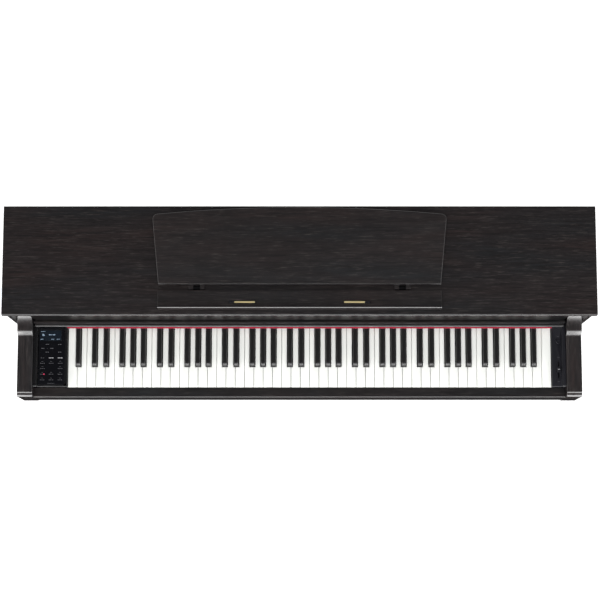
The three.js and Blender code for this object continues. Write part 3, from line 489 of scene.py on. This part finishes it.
def curve(start, *moves, steps=10):
    """An outline from straight and curved moves: (u, v), or Bezier handles and an end."""
    points = [np.asarray(start, float)[None]]
    for move in moves:
        here = points[-1][-1]
        if len(move) == 2:
            points.append(np.asarray(move, float)[None])
            continue
        handles = np.asarray(move, float).reshape(-1, 2)
        t = np.linspace(0, 1, steps + 1)[1:, None]
        if len(handles) == 2:
            a, b = handles
            arc = (1 - t) ** 2 * here + 2 * t * (1 - t) * a + t ** 2 * b
        else:
            a, b, c = handles
            arc = (1 - t) ** 3 * here + 3 * t * (1 - t) ** 2 * a + 3 * t ** 2 * (1 - t) * b + t ** 3 * c
        points.append(arc)
    return np.concatenate(points)


def turned(profile, centre, axis="z", around=48, ripple=None):
    """(points, faces) of a closed turning: each (radius, level) of the profile goes round a circle.

    Ripple gives a share to add to the radius at each angle.
    """
    profile = np.asarray(profile, float)
    angle = np.linspace(0, 2 * math.pi, around, endpoint=False)
    share = ripple(angle) if ripple else np.zeros(around)
    radius = profile[:, 0][:, None] * (1 + share[None])
    level = np.broadcast_to(profile[:, 1][:, None], radius.shape)
    rings = ALONG[axis](np.stack([radius * np.cos(angle), radius * np.sin(angle), level], -1))
    return rings.reshape(-1, 3) + np.asarray(centre), closed_stack(rings)


def box_of(node):
    """A CAD node's lowest and highest corners as two arrays."""
    low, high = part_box(node)
    return np.array(low), np.array(high)


def top_rim(a, b, low, high):
    """Whether an edge lies round the top."""
    return min(a.z, b.z) > high.z - SLACK


def front_rim(a, b, low, high):
    """Whether an edge is the upper one of the front face."""
    return max(a.y, b.y) < low.y + SLACK and abs(a.z - b.z) < SLACK and a.z > (low.z + high.z) / 2


def end_rim(a, b, low, high):
    """Whether a level edge lies along either end, above the foot."""
    at_end = max(a.x, b.x) < low.x + SLACK or min(a.x, b.x) > high.x - SLACK
    return at_end and abs(a.z - b.z) < SLACK and a.z > low.z + 1e-3


def eased_copy(node, material, ease=0.0008, segments=3, angle=32, rim=None, radius=0.002):
    """Stands in for a CAD node with the same solid, its corners merged and its edges rounded.

    The edges that the rim test picks get the larger radius.
    """
    source = NODES[node]
    mesh = source.data.copy()
    mesh.name = node + "_eased"
    work = bmesh.new()
    work.from_mesh(mesh)
    bmesh.ops.remove_doubles(work, verts=work.verts, dist=2e-5)
    bmesh.ops.dissolve_limit(
        work, angle_limit=math.radians(1.0), verts=work.verts, edges=work.edges,
        use_dissolve_boundaries=False,
    )
    if rim:
        low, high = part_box(node)
        picked = [e for e in work.edges if rim(e.verts[0].co, e.verts[1].co, low, high)]
        picked = [e for e in picked if e.is_manifold and e.calc_face_angle() > 0.5]
        bmesh.ops.bevel(
            work, geom=picked, offset=radius, segments=5, profile=0.5, affect="EDGES", clamp_overlap=False,
        )
    work.to_mesh(mesh)
    work.free()
    mesh.materials.clear()
    mesh.materials.append(material)
    mesh.shade_smooth()
    mesh.set_sharp_from_angle(angle=math.radians(40))
    piece = bpy.data.objects.new(node + "_finished", mesh)
    bpy.context.scene.collection.objects.link(piece)
    bevel = piece.modifiers.new("eased edges", "BEVEL")
    bevel.width = ease
    bevel.segments = segments
    bevel.limit_method = "ANGLE"
    bevel.angle_limit = math.radians(angle)
    bevel.use_clamp_overlap = True
    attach(piece, source["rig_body"])
    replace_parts(piece, node)
    return piece


def dress(node, material):
    """Gives a CAD node that keeps its shape a finished material."""
    data = NODES[node].data
    data.materials.clear()
    data.materials.append(material)


SIDES = (("left", -1), ("right", 1))


# ---------------------------------------------------------------- cabinet
def board(node, material, axis, ease=0.0012):
    """A flat board: the CAD box as a prism along its grain, with softened edges all round."""
    low, high = box_of(node)
    across = {"x": (1, 2), "y": (2, 0), "z": (0, 1)}[axis]
    run = "xyz".index(axis)
    u, v = across
    outline = rounded_box(low[u], high[u], low[v], high[v], ease)
    points, faces = prism(outline, axis, low[run], high[run], ease)
    piece = new_piece(node + "_board", points, faces, NODES[node]["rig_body"], "rosewood", material)
    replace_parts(piece, node)


CASE_LINE = -0.0388  # where the arms' low parts end, against the case sides
LID_ROUND = 6 * MM
ARM_HEIGHT = 125 * MM
ARM_STEP = 13 * MM
ARM_POST = 8 * MM  # thickness of an arm's upright end
GAP = 0.3 * MM  # between boards that meet
BED_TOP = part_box("keybed")[1].z
ARM_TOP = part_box("keybed")[0].z + ARM_HEIGHT


def arm_outline(y0, y1, z0, z1):
    """Side of an arm: a level top with a stepped round nose, a step, and a sweep up to a post.

    Behind the case line it stands on the keybed.
    """
    post = y1 - ARM_POST
    top, shelf = ARM_TOP, ARM_TOP + ARM_STEP
    foot = BED_TOP + GAP
    return curve(
        (CASE_LINE, z0),
        (CASE_LINE, foot),
        (y1, foot),
        (y1, z1),
        (post, z1),
        (post, shelf + 0.037),
        (post - 0.001, shelf + 0.019, post - 0.016, shelf + 0.002, post - 0.034, shelf + 0.0005),
        (post - 0.041, shelf + 0.0002),
        (post - 0.047, shelf - 0.0002, post - 0.051, top, post - 0.058, top),
        (y0 + 0.013, top),
        (y0 + 0.0117, top, y0 + 0.0097, top - 0.0026),
        (y0 + 0.0058, top - 0.0036),
        (y0 + 0.0040, top - 0.0040, y0 + 0.0009, top - 0.0074, y0, top - 0.0105),
        (y0, z0),
        steps=16,
    )


def make_cabinet():
    make_lid()
    # The front panel's darkened rosewood is painted shade.
    board("front_panel", WOOD_PAINTED_SHADE, "x", 0.001)
    for node in ("back_board", "keybed"):
        eased_copy(node, WOOD_X, 0.0008)
    for side, _ in SIDES:
        eased_copy(f"case_side_{side}", WOOD_Z, 0.0015, 3)
        node = f"arm_{side}"
        low, high = box_of(node)
        outline = arm_outline(low[1], high[1], low[2], high[2])
        points, faces = prism(outline, "x", low[0], high[0], 0.0011)
        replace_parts(new_piece(node + "_board", points, faces, "cabinet", "rosewood", WOOD_ARM), node)
    make_moulding()
    make_keyslip()


def make_lid():
    """The lid: its section is a board whose two front corners are broad quarter circles."""
    low, high = box_of("top_lid")
    front = rounded_box(low[1], high[1], low[2], high[2], LID_ROUND, 12)
    back = rounded_box(low[1], high[1], low[2], high[2], 0.0012, 12)
    middle = (low[1] + high[1]) / 2
    outline = np.where(front[:, :1] < middle, front, back)
    points, faces = prism(outline, "x", low[0], high[0], 0.0016, 4)
    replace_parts(new_piece("top_lid_board", points, faces, "cabinet", "rosewood", WOOD_LID), "top_lid")


def make_moulding():
    """The strip on the front panel: a thin board with a rounded lower edge."""
    low, high = box_of("front_moulding")
    y0, z0, y1, z1 = low[1], low[2], high[1], high[2]
    outline = curve((y1, z0), (y1, z1), (y0, z1), (y0, z0 + 0.003), (y0, z0, y0 + 0.003, z0))
    points, faces = prism(outline, "x", low[0], high[0], 0.0008)
    # The strip's darkened rosewood is painted shade.
    piece = new_piece("front_moulding_strip", points, faces, "cabinet", "rosewood", WOOD_PAINTED_SHADE)
    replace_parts(piece, "front_moulding")


def make_keyslip():
    """The rail before the keys: its section has a round top front edge."""
    low, high = box_of("keyslip")
    y0, z0, y1, z1 = low[1], low[2], high[1], high[2]
    outline = curve((y0, z0), (y1, z0), (y1, z1), (y0 + 0.004, z1), (y0, z1, y0, z1 - 0.004))
    points, faces = prism(outline, "x", low[0], high[0], 0.0006)
    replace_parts(new_piece("keyslip_rail", points, faces, "cabinet", "rosewood", WOOD_X), "keyslip")


# ---------------------------------------------------------------- key cover
def make_cover():
    low, high = box_of("key_cover_lip")
    y0, z0, y1, z1 = low[1], low[2], high[1], high[2]
    seam = y0 + 0.0061
    face = curve(
        (y1, z0),
        (y1, z1),
        (y0 + 0.0085, z1),
        (y0 + 0.0070, z1, y0 + 0.0070, z1 - 0.0015),
        (y0 + 0.0064, z0 + 0.015),
        (y0 + 0.0062, z0 + 0.0112, seam, z0 + 0.0108),
        (seam, z0),
    )
    bead = curve(
        (seam - 0.0001, z0),
        (seam - 0.0001, z0 + 0.0107),
        (y0 + 0.0034, z0 + 0.0106),
        (y0 + 0.0022, z0 + 0.0105, y0 + 0.0003, z0 + 0.0088, y0, z0 + 0.0062),
        (y0, z0 + 0.003),
        (y0, z0, y0 + 0.003, z0),
    )
    for name, outline, wood in (("cover_lip_strip", face, WOOD_LIP), ("cover_lip_bead", bead, WOOD_EDGE)):
        points, faces = prism(outline, "x", low[0], high[0], 0.0009)
        piece = new_piece(name, points, faces, "key_cover", "rosewood", wood)
        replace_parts(piece, "key_cover_lip")
    board("key_cover_panel", WOOD_X, "x", 0.0010)


# ---------------------------------------------------------------- keys
LETTERS = "ABCDEFG"
NATURALS = 52
SHARP_SHIFT = {"A": 3.0, "C": -2.8, "D": 2.6, "F": -3.7, "G": 0.0}
KEY_GAP = 1.0 * MM
SHARP_BASE = 13.4 * MM
SHARP_TOP = 10.0 * MM
SHARP_SLOPE = 9.0 * MM
KEY_EASE = 0.9 * MM

bass_low, bass_high = box_of("naturals_bass")
treble_high = box_of("naturals_treble")[1]
sharp_low, sharp_high = box_of("sharps_bass")
KEYS_X = bass_low[0] - KEY_GAP / 2
PITCH = (treble_high[0] + KEY_GAP / 2 - KEYS_X) / NATURALS
KEY_FRONT, KEY_HEEL = bass_low[1], bass_high[1]
KEY_UNDER, KEY_TOP = bass_low[2], bass_high[2]
SHARP_FRONT, SHARP_CROWN = sharp_low[1], sharp_high[2]


def letter(i):
    return LETTERS[i % 7]


def octave(i):
    """Octave numbers change at C, the third natural."""
    return (i + 5) // 7


def has_sharp(i):
    return 0 <= i < NATURALS - 1 and letter(i) in SHARP_SHIFT


def sharp_x(i):
    return KEYS_X + (i + 1) * PITCH + SHARP_SHIFT[letter(i)] * MM


def natural_shell(i):
    """A natural: its plan is cut back beside the sharps, and its top and bottom edges are rounded."""
    x0 = KEYS_X + i * PITCH + KEY_GAP / 2
    x1 = KEYS_X + (i + 1) * PITCH - KEY_GAP / 2
    clear = SHARP_BASE / 2 + KEY_GAP
    tail0 = sharp_x(i - 1) + clear if has_sharp(i - 1) else x0
    tail1 = sharp_x(i) - clear if has_sharp(i) else x1
    notch = SHARP_FRONT - KEY_GAP
    corner = 0.0009
    plan = curve(
        (x0, KEY_FRONT + corner),
        (x0, KEY_FRONT, x0 + corner, KEY_FRONT),
        (x1 - corner, KEY_FRONT),
        (x1, KEY_FRONT, x1, KEY_FRONT + corner),
        steps=4,
    )
    rest = [(x1, notch)]
    if tail1 < x1:
        rest.append((tail1, notch))
    rest.append((tail1, KEY_HEEL))
    rest.append((tail0, KEY_HEEL))
    if tail0 > x0:
        rest.append((tail0, notch))
    rest.append((x0, notch))
    outline = np.concatenate([plan, np.array(rest)])
    return prism(outline, "z", KEY_UNDER, KEY_TOP, KEY_EASE, 3)


def sharp_shell(i):
    """A sharp as cross-sections from front to back.

    Each section is a trapezium with round shoulders. Its crown rises along the sloping front
    as a smooth step, then stays level.
    """
    x = sharp_x(i)
    y = np.concatenate([
        SHARP_FRONT + np.array([0, 0.0004, 0.0012]),
        SHARP_FRONT + np.linspace(0.0024, SHARP_SLOPE, 7),
        SHARP_FRONT + SHARP_SLOPE + np.array([0.0012, 0.0028]),
        np.array([KEY_HEEL - 0.0005]),
    ])
    along = np.clip((y - SHARP_FRONT - 0.0006) / (SHARP_SLOPE + 0.0016), 0, 1)
    rise = 1 - (1 - along) ** 1.9
    base = KEY_TOP + 0.0016
    crown = base + (SHARP_CROWN - base) * rise
    pinch = np.clip((y - SHARP_FRONT) / 0.0012, 0, 1) ** 0.5
    half_base = (SHARP_BASE / 2 - 0.0009) + 0.0009 * pinch
    share = (crown - KEY_TOP) / (SHARP_CROWN - KEY_TOP)
    half_top = half_base + (SHARP_TOP / 2 - SHARP_BASE / 2) * share
    turn = np.linspace(0, math.pi / 2, 5)
    shoulder = np.minimum(0.0016, (crown - KEY_UNDER) * 0.4)
    across = half_top[:, None] - shoulder[:, None] * (1 - np.cos(turn))
    height = crown[:, None] - shoulder[:, None] * (1 - np.sin(turn))
    right = np.stack([x + across, height], -1)
    left = np.stack([x - across[:, ::-1], height[:, ::-1]], -1)
    foot_right = np.stack([x + half_base, np.full_like(y, KEY_UNDER)], -1)[:, None]
    foot_left = np.stack([x - half_base, np.full_like(y, KEY_UNDER)], -1)[:, None]
    section = np.concatenate([foot_right, right, left, foot_left], axis=1)
    depth = np.broadcast_to(y[:, None], section.shape[:2])
    rings = np.stack([section[..., 0], depth, section[..., 1]], -1)[:, ::-1]
    return rings.reshape(-1, 3), closed_stack(rings)


def make_keys():
    free = 4
    order = range(NATURALS)
    runs = {
        "bass": [i for i in order if octave(i) < free],
        "treble": [i for i in order if octave(i) > free],
    }
    for name, run in runs.items():
        points, faces = gather([natural_shell(i) for i in run])
        piece = new_piece(f"naturals_{name}_keys", points, faces, "cabinet", "ivory", IVORY)
        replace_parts(piece, f"naturals_{name}")
        points, faces = gather([sharp_shell(i) for i in run if has_sharp(i)])
        piece = new_piece(f"sharps_{name}_keys", points, faces, "cabinet", "ebony", EBONY)
        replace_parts(piece, f"sharps_{name}")
    for i in (i for i in order if octave(i) == free):
        node = f"key_{letter(i)}{free}"
        points, faces = natural_shell(i)
        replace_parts(new_piece(node + "_top", points, faces, node, "ivory", IVORY), node)
        if has_sharp(i):
            node = f"key_{letter(i)}s{free}"
            points, faces = sharp_shell(i)
            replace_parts(new_piece(node + "_top", points, faces, node, "ebony", EBONY), node)


def make_felt():
    """The felt strip: a flat bar whose front edge is bellied and slightly wavy.

    The wave is the sum of two sines along X, up to 0.14 mm high.
    """
    low, high = box_of("felt_strip")
    x = np.linspace(low[0], high[0], 400)
    wave = 0.00008 * np.sin(x * 61) + 0.00006 * np.sin(x * 173 + 1)
    section = rounded_box(low[1] + 0.0002, high[1], low[2], high[2], 0.0016, 4)
    front = (high[1] - section[:, 0]) / (high[1] - low[1])
    y = section[None, :, 0] + wave[:, None] * front[None]
    z = np.broadcast_to(section[None, :, 1], y.shape)
    rings = np.stack([np.broadcast_to(x[:, None], y.shape), y, z], -1)
    points = rings.reshape(-1, 3)
    piece = new_piece("felt_strip_cloth", points, closed_stack(rings), "cabinet", "red_felt", FELT)
    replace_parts(piece, "felt_strip")


# ---------------------------------------------------------------- controls
def pad(x, y, z, width, depth, height=0.00012, corner=None):
    """(points, faces) of a thin raised mark with round ends, centred at (x, y)."""
    corner = min(width, depth) * 0.49 if corner is None else corner
    outline = rounded_box(x - width / 2, x + width / 2, y - depth / 2, y + depth / 2, corner, 3)
    return prism(outline, "z", z, z + height, height * 0.4, 1)


def word(x, y, z, lengths, height, space=0.0007):
    """A row of plain bars in place of lettering, centred at (x, y)."""
    total = sum(lengths) + space * (len(lengths) - 1)
    left = x - total / 2
    bars = []
    for length in lengths:
        bars.append(pad(left + length / 2, y, z, length, height))
        left += length + space
    return bars


def make_controls():
    eased_copy("end_block_left", PANEL_BLACK, 0.0008, 2, rim=front_rim, radius=0.0036)
    eased_copy("end_block_right", BLACK, 0.0008, 2, rim=front_rim, radius=0.0036)
    eased_copy("control_glass", GLASS, 0.0006)
    eased_copy("display", DISPLAY, 0.0004)
    make_touch_marks()
    make_display_marks()
    make_power_button()
    make_slider()


def make_touch_marks():
    """Rows of touch marks on the glass: short bars with a lamp dot at the end of some."""
    low, high = box_of("control_glass")
    z = high[2]
    left, middle, right = (low[0] + m * MM for m in (10.4, 32.7, 55.3))
    row = [high[1] - m * MM for m in (43.7, 53.9, 63.4, 78.1, 91.8, 105.3, 119.5, 134.0, 142.6)]
    centre = low[0] + 22.0 * MM
    dim, bright = [], []
    long_bar = (0.0036, 0.0042)
    dim += word(centre, row[0], z, (0.0046, 0.0034), 0.0013)
    dim += word(right - 0.0016, row[0], z, long_bar, 0.0013)
    dim += word(centre - 0.0112, row[1], z, (0.0088,), 0.0013)
    dim += word(centre + 0.0116, row[1], z, (0.0088,), 0.0013)
    dim.append(pad(centre, row[1], z, 0.0010, 0.0010))
    dim += word(centre, row[2], z, (0.0042, 0.0034), 0.0013)
    dim += word(right - 0.0016, row[2], z, long_bar, 0.0013)
    dim += word(left, row[3], z, (0.0040, 0.0040), 0.0012)
    for x in (middle, right):
        bright += word(x, row[3], z, (0.0056, 0.0060), 0.0021, 0.0004)
    for y, places in ((row[4], (left, middle, right)), (row[5], (left, right)),
                      (row[6], (left, middle, right)), (row[7], (left, middle, right))):
        for x in places:
            dim += word(x - 0.0020, y, z, (0.0034, 0.0030), 0.0012)
            dim += word(x, y + 0.0046, z, (0.0048,), 0.0006)
            if (x, y) != (left, row[6]):
                dim.append(pad(x + 0.0046, y, z, 0.0021, 0.0021))
    dim += word((left + right) / 2, row[8], z, (0.0180,), 0.0005)
    lamp = [pad(left + 0.0046, row[6], z, 0.0031, 0.0031, 0.0002)]
    for name, shells, ink in (("touch_marks", dim, MARK_GREY), ("touch_marks_bright", bright, MARK_BRIGHT),
                              ("touch_lamp", lamp, LAMP_RED)):
        points, faces = gather(shells)
        new_piece(name, points, faces, "cabinet", "control_glass", ink, smooth=False)


def make_display_marks():
    """Plain bars and a fan-shaped icon on the display."""
    low, high = box_of("display")
    z, x0, y1 = high[2], low[0], high[1]
    shells = word(x0 + 0.0082, y1 - 0.0030, z, (0.0040, 0.0026, 0.0030), 0.0011)
    shells += word(x0 + 0.0305, y1 - 0.0112, z, (0.0050, 0.0028, 0.0062), 0.0026, 0.0012)
    for place in (0.0052, 0.0322, 0.0462):
        shells += word(x0 + place, y1 - 0.0226, z, (0.0038, 0.0028), 0.0016)
    turn = np.linspace(0, math.pi / 2, 10)
    arc = np.stack([np.cos(turn), np.sin(turn)], 1) * 0.0056
    fan = np.concatenate([np.array([[0.0, 0.0]]), arc]) + np.array([x0 + 0.0062, y1 - 0.0140])
    shells.append(prism(fan, "z", z, z + 0.00012, 0.00003, 1))
    points, faces = gather(shells)
    new_piece("display_marks", points, faces, "cabinet", "display", MARK_ICE, smooth=False)


def make_power_button():
    """A turned button with a dished top, and a plain bar printed behind it."""
    low, high = box_of("power_button")
    centre = ((low[0] + high[0]) / 2, (low[1] + high[1]) / 2, 0)
    r = (high[0] - low[0]) / 2
    z0, z1 = low[2], high[2]
    profile = [
        (r - 0.0004, z0), (r, z0 + 0.0004), (r, z1 - 0.0012), (r - 0.0003, z1 - 0.0004),
        (r - 0.0009, z1), (r - 0.0016, z1 - 0.0001), (r * 0.55, z1 - 0.0006), (r * 0.2, z1 - 0.0008),
    ]
    points, faces = turned(profile, centre, around=40)
    piece = new_piece("power_button_cap", points, faces, "power_button", "black_plastic", BLACK)
    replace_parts(piece, "power_button")
    block = box_of("end_block_right")
    top = block[1][2] - 0.012
    marks = word(centre[0], centre[1] + 0.0125, top, (0.0052,), 0.0008)
    points, faces = gather(marks)
    new_piece("power_mark", points, faces, "cabinet", "black_plastic", MARK_GREY, smooth=False)


def make_slider():
    """The slider's cap, an index line across it, and a plain bar beyond each end of its travel."""
    low, high = box_of("volume_slider")
    eased_copy("volume_slider", BLACK, 0.0006)
    x, y, z = (low[0] + high[0]) / 2, (low[1] + high[1]) / 2, high[2]
    width = high[0] - low[0]
    points, faces = gather([pad(x, y, z - 0.00002, width * 0.62, 0.0017, 0.00014)])
    new_piece("slider_index", points, faces, "volume_slider", "black_plastic", MARK_BRIGHT, smooth=False)
    top = z - 0.005
    marks = word(x, y + 0.0305, top, (0.0060,), 0.0007) + word(x, y - 0.0305, top, (0.0060,), 0.0007)
    points, faces = gather(marks)
    new_piece("slider_scale_marks", points, faces, "cabinet", "black_plastic", MARK_GREY, smooth=False)


# ---------------------------------------------------------------- music rest
def make_rest():
    eased_copy("music_rest", WOOD_EDGE, 0.0006, 2, 40, rim=top_rim, radius=0.0024)
    eased_copy("music_ledge", WOOD_EDGE, 0.0006, 3, 40, rim=end_rim, radius=0.0012)
    for side, sign in SIDES:
        make_page_holder(side, sign)
        # The hinge's near-black finish is painted shade for the slot it sits in.
        eased_copy(f"rest_hinge_{side}", HINGE_PAINTED_SHADE, 0.0004, 2)
        eased_copy(f"rest_stay_{side}", STEEL, 0.0004, 2)


def make_page_holder(side, sign):
    """A page holder: a dark finger with its pivot, and a crowned brass blade along it.

    The blade's section is a flattened half ellipse on a flat foot, carried along X.
    """
    node = f"page_holder_{side}"
    eased_copy(node, BLACK, 0.0004, 2)
    low, high = box_of(node)
    inner, outer = (low[0], high[0]) if sign > 0 else (-high[0], -low[0])
    blade = (inner, outer - 0.0128)
    y = (low[1] + high[1]) / 2
    half = (high[1] - low[1]) / 2
    x = sign * np.linspace(blade[0], blade[1], 40)
    turn = np.linspace(0, math.pi, 13)
    width = half * 0.37
    top = high[2]
    section = np.stack([width * np.cos(turn), 0.0014 * np.sin(turn) ** 0.7], 1)
    section = np.concatenate([section, [[-width, -0.0008], [width, -0.0008]]])
    shrink = np.ones(40)
    shrink[[0, -1]] = 0.7
    rings = np.stack([
        np.broadcast_to(x[:, None], (40, len(section))),
        y + section[None, :, 0] * shrink[:, None],
        top - 0.0014 + section[None, :, 1] * shrink[:, None],
    ], -1)
    if sign > 0:
        rings = rings[:, ::-1]
    new_piece(f"{node}_blade", rings.reshape(-1, 3), closed_stack(rings), node, "brass", BRASS)


# ---------------------------------------------------------------- stand and pedals
def make_stand():
    for side, _ in SIDES:
        eased_copy(f"leg_panel_{side}", WOOD_Z, 0.0016, 3)
        eased_copy(f"foot_{side}", WOOD_Y, 0.0026, 4)
    board("stand_back_rail", WOOD_X, "x", 0.001)
    eased_copy("pedal_box", WOOD_X, 0.0014, 3)
    for name in ("soft", "sostenuto", "damper"):
        make_pedal(name)
    make_adjuster()


def make_pedal(name):
    """A cast brass pedal as cross-sections from its pivot to its toe.

    The half width is the neck's, and widens to the blade's as a smooth step; at the toe it
    closes as a half ellipse. Each section is a superellipse. A pin crosses the heel.
    """
    node = f"pedal_{name}"
    low, high = box_of(node)
    x = (low[0] + high[0]) / 2
    z = (low[2] + high[2]) / 2
    toe, heel = low[1], high[1]
    half_blade, half_neck = 0.012, 0.0066
    end = 0.5 - 0.5 * np.cos(np.linspace(0, math.pi / 2, 14))
    y = np.concatenate([
        toe + end * half_blade * 2.0,
        np.linspace(toe + 0.014, heel, 60)[1:],
    ])
    y = np.unique(np.round(y, 6))
    run = np.clip((y - (toe + 0.060)) / 0.042, 0, 1)
    smooth = run * run * (3 - 2 * run)
    half = half_blade + (half_neck - half_blade) * smooth
    close = np.sqrt(np.clip(1 - np.clip((toe + half_blade - y) / half_blade, 0, 1) ** 2, 0.0009, 1))
    half = half * close
    thick = 0.0034 * np.clip(close * 1.3, 0.12, 1)
    turn = np.linspace(0, 2 * math.pi, 28, endpoint=False)
    c, s = np.cos(turn), np.sin(turn)
    u = np.sign(c) * np.abs(c) ** 0.55
    v = np.sign(s) * np.abs(s) ** 0.8
    rings = np.stack([
        x + half[:, None] * u[None],
        np.broadcast_to(y[:, None], (len(y), len(turn))),
        z + thick[:, None] * v[None],
    ], -1)[:, ::-1]
    pin = turned([(0.0036, -0.0150), (0.004, -0.0146), (0.004, 0.0146), (0.0036, 0.0150)],
                 (x, heel - 0.012, z), "x", 24)
    points, faces = gather([(rings.reshape(-1, 3), closed_stack(rings)), pin])
    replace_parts(new_piece(node + "_cast", points, faces, node, "brass", BRASS), node)


def make_adjuster():
    """A turned foot with a knurled rim: its radius swells and sinks 40 times round."""
    low, high = box_of("adjuster_foot")
    centre = ((low[0] + high[0]) / 2, (low[1] + high[1]) / 2, 0)
    r = (high[0] - low[0]) / 2
    disc = turned(
        [(r - 0.003, low[2]), (r - 0.0008, low[2] + 0.0012), (r - 0.0004, 0.004), (r - 0.0004, 0.011),
         (r - 0.0012, 0.0135), (r - 0.004, 0.014)],
        centre, around=160, ripple=lambda a: 0.012 * np.cos(40 * a),
    )
    neck = turned([(0.013, 0.0141), (0.013, 0.050), (0.012, 0.052), (0.0074, 0.0522), (0.0074, high[2])],
                  centre, around=40)
    points, faces = gather([disc, neck])
    piece = new_piece("adjuster_foot_turned", points, faces, "adjuster_foot", "black_plastic", RUBBER)
    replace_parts(piece, "adjuster_foot")


# ---------------------------------------------------------------- inside, under and behind
def make_inside():
    for side, _ in SIDES:
        dress(f"woofer_{side}", DARK_STEEL)
        low, high = box_of(f"woofer_{side}")
        centre = ((low[0] + high[0]) / 2, (low[1] + high[1]) / 2, 0)
        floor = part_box("keybed")[0].z
        disc = turned([(0.0625, floor + 0.0010), (0.0632, floor + 0.0016), (0.0632, floor + 0.0030),
                       (0.0625, floor + 0.0036)], centre, around=64)
        new_piece(f"speaker_cloth_{side}", *disc, "cabinet", "speaker", CLOTH)
    dress("main_board", GREEN)
    dress("key_frame", DARK_STEEL)
    eased_copy("power_inlet", BLACK, 0.0006, 2)
    eased_copy("headphone_box", BLACK, 0.0014, 3)
    eased_copy("headphone_hook", STEEL, 0.0005, 2, 50)
    make_screws()


def make_screws():
    """Pan-head screws round the back board: each head is a low dome with a shallow dip at its middle."""
    low, high = box_of("back_board")
    xs = np.linspace(low[0] + 0.02, high[0] - 0.02, 8)
    places = [(x, z) for x in xs for z in (low[2] + 0.012, high[2] - 0.012)]
    profile = [(0.0036, 0.0), (0.0036, 0.0003), (0.0031, 0.0009), (0.0018, 0.0013), (0.0007, 0.0010)]
    shells = []
    for x, z in places:
        rings = turned(profile, (0, 0, 0), "z", 12)
        points = rings[0]
        # The dome's level runs along +Y, so its plan lies in Z and X.
        placed = np.stack([points[:, 1] + x, points[:, 2] + high[1], points[:, 0] + z], 1)
        shells.append((placed, rings[1]))
    points, faces = gather(shells)
    new_piece("back_screws", points, faces, "cabinet", "dark_steel", DARK_STEEL)


make_cabinet()
make_cover()
make_keys()
make_felt()
make_controls()
make_rest()
make_stand()
make_inside()


# ---------------------------------------------------------------- studio
def make_floor():
    """A wide white floor with a barely uneven surface. Polished faces don't mirror it."""
    f = Finish("pale_floor", Specular_IOR_Level=0.0, Emission_Strength=0.55)
    cloud = f.noise(f.place(), 1.5, 2.0, 0.5)
    tone = f.blend(cloud, (0.93, 0.93, 0.93), (0.96, 0.96, 0.96))
    f.set("Base Color", tone)
    f.set("Emission Color", tone)
    f.set("Roughness", cloud * 0.1 + 0.85)
    half = 14.0
    mesh = bpy.data.meshes.new("floor")
    corners = [(-half, -half, 0), (half, -half, 0), (half, half, 0), (-half, half, 0)]
    mesh.from_pydata(corners, [], [(0, 1, 2, 3)])
    mesh.materials.append(f.material)
    floor = bpy.data.objects.new("floor", mesh)
    floor.visible_glossy = False
    bpy.context.scene.collection.objects.link(floor)


def make_light(name, place, target, size, power, seen=True):
    """An oblong soft light that faces its target. Unseen ones leave no reflection."""
    data = bpy.data.lights.new(name, "AREA")
    data.shape = "RECTANGLE"
    data.size, data.size_y = size
    data.energy = power
    light = bpy.data.objects.new(name, data)
    light.location = place
    aim = Vector(target) - Vector(place)
    light.rotation_euler = aim.to_track_quat("-Z", "Y").to_euler()
    light.visible_glossy = seen
    bpy.context.scene.collection.objects.link(light)


class Sky(Finish):
    """The world as a finish: its background's colour is worked out from the direction."""

    def __init__(self):
        world = bpy.data.worlds.new("studio")
        bpy.context.scene.world = world
        world.use_nodes = True
        self.tree = world.node_tree
        self.shader = self.tree.nodes["Background"]

    def axis(self, name):
        """One part of the direction looked in, from -1 to 1."""
        split = self.tree.nodes.new("ShaderNodeSeparateXYZ")
        where = self.tree.nodes.new("ShaderNodeTexCoord")
        self.tree.links.new(where.outputs["Generated"], split.inputs[0])
        return Wire(self.tree, split.outputs[name])

    def vector(self, operation, first, second):
        """Adds or multiplies two colours, part by part."""
        node = self.tree.nodes.new("ShaderNodeVectorMath")
        node.operation = operation
        plug(self.tree, node.inputs[0], first)
        plug(self.tree, node.inputs[1], second)
        return Wire(self.tree, node.outputs[0])


def make_sky():
    """A studio: dim overhead and below, with a bright wall low in front of the player's side.

    The wall is a band about the horizon, stronger towards the front and fainter to the sides.
    """
    f = Sky()
    height = f.axis("Z") * 0.5 + 0.5
    base = f.ramp(height, [(0.0, (0.0,) * 3), (0.38, (0.02,) * 3), (0.50, (0.55,) * 3),
                           (0.72, (0.42,) * 3), (0.88, (0.10,) * 3), (1.0, (0.06,) * 3)])
    wall = f.ramp(height, [(0.20, (0.0,) * 3), (0.33, (0.95,) * 3), (0.44, (1.0,) * 3),
                           (0.54, (0.9,) * 3), (0.62, (0.32,) * 3), (0.78, (0.0,) * 3)])
    front = f.ramp(f.axis("Y") * -0.5 + 0.5, [(0.30, (0.10,) * 3), (0.50, (0.30,) * 3), (0.90, (1.0,) * 3)])
    lit = f.vector("MULTIPLY", f.vector("MULTIPLY", wall, front), (WALL_BRIGHTNESS,) * 3)
    f.set("Color", f.vector("ADD", base, lit))


WALL_BRIGHTNESS = 9.5
bpy.context.scene.view_settings.view_transform = "Standard"
make_floor()
make_sky()
make_light("overhead", (0.0, -1.2, 7.0), (0.0, 0.0, 0.8), (7.0, 5.0), 430.0, seen=False)
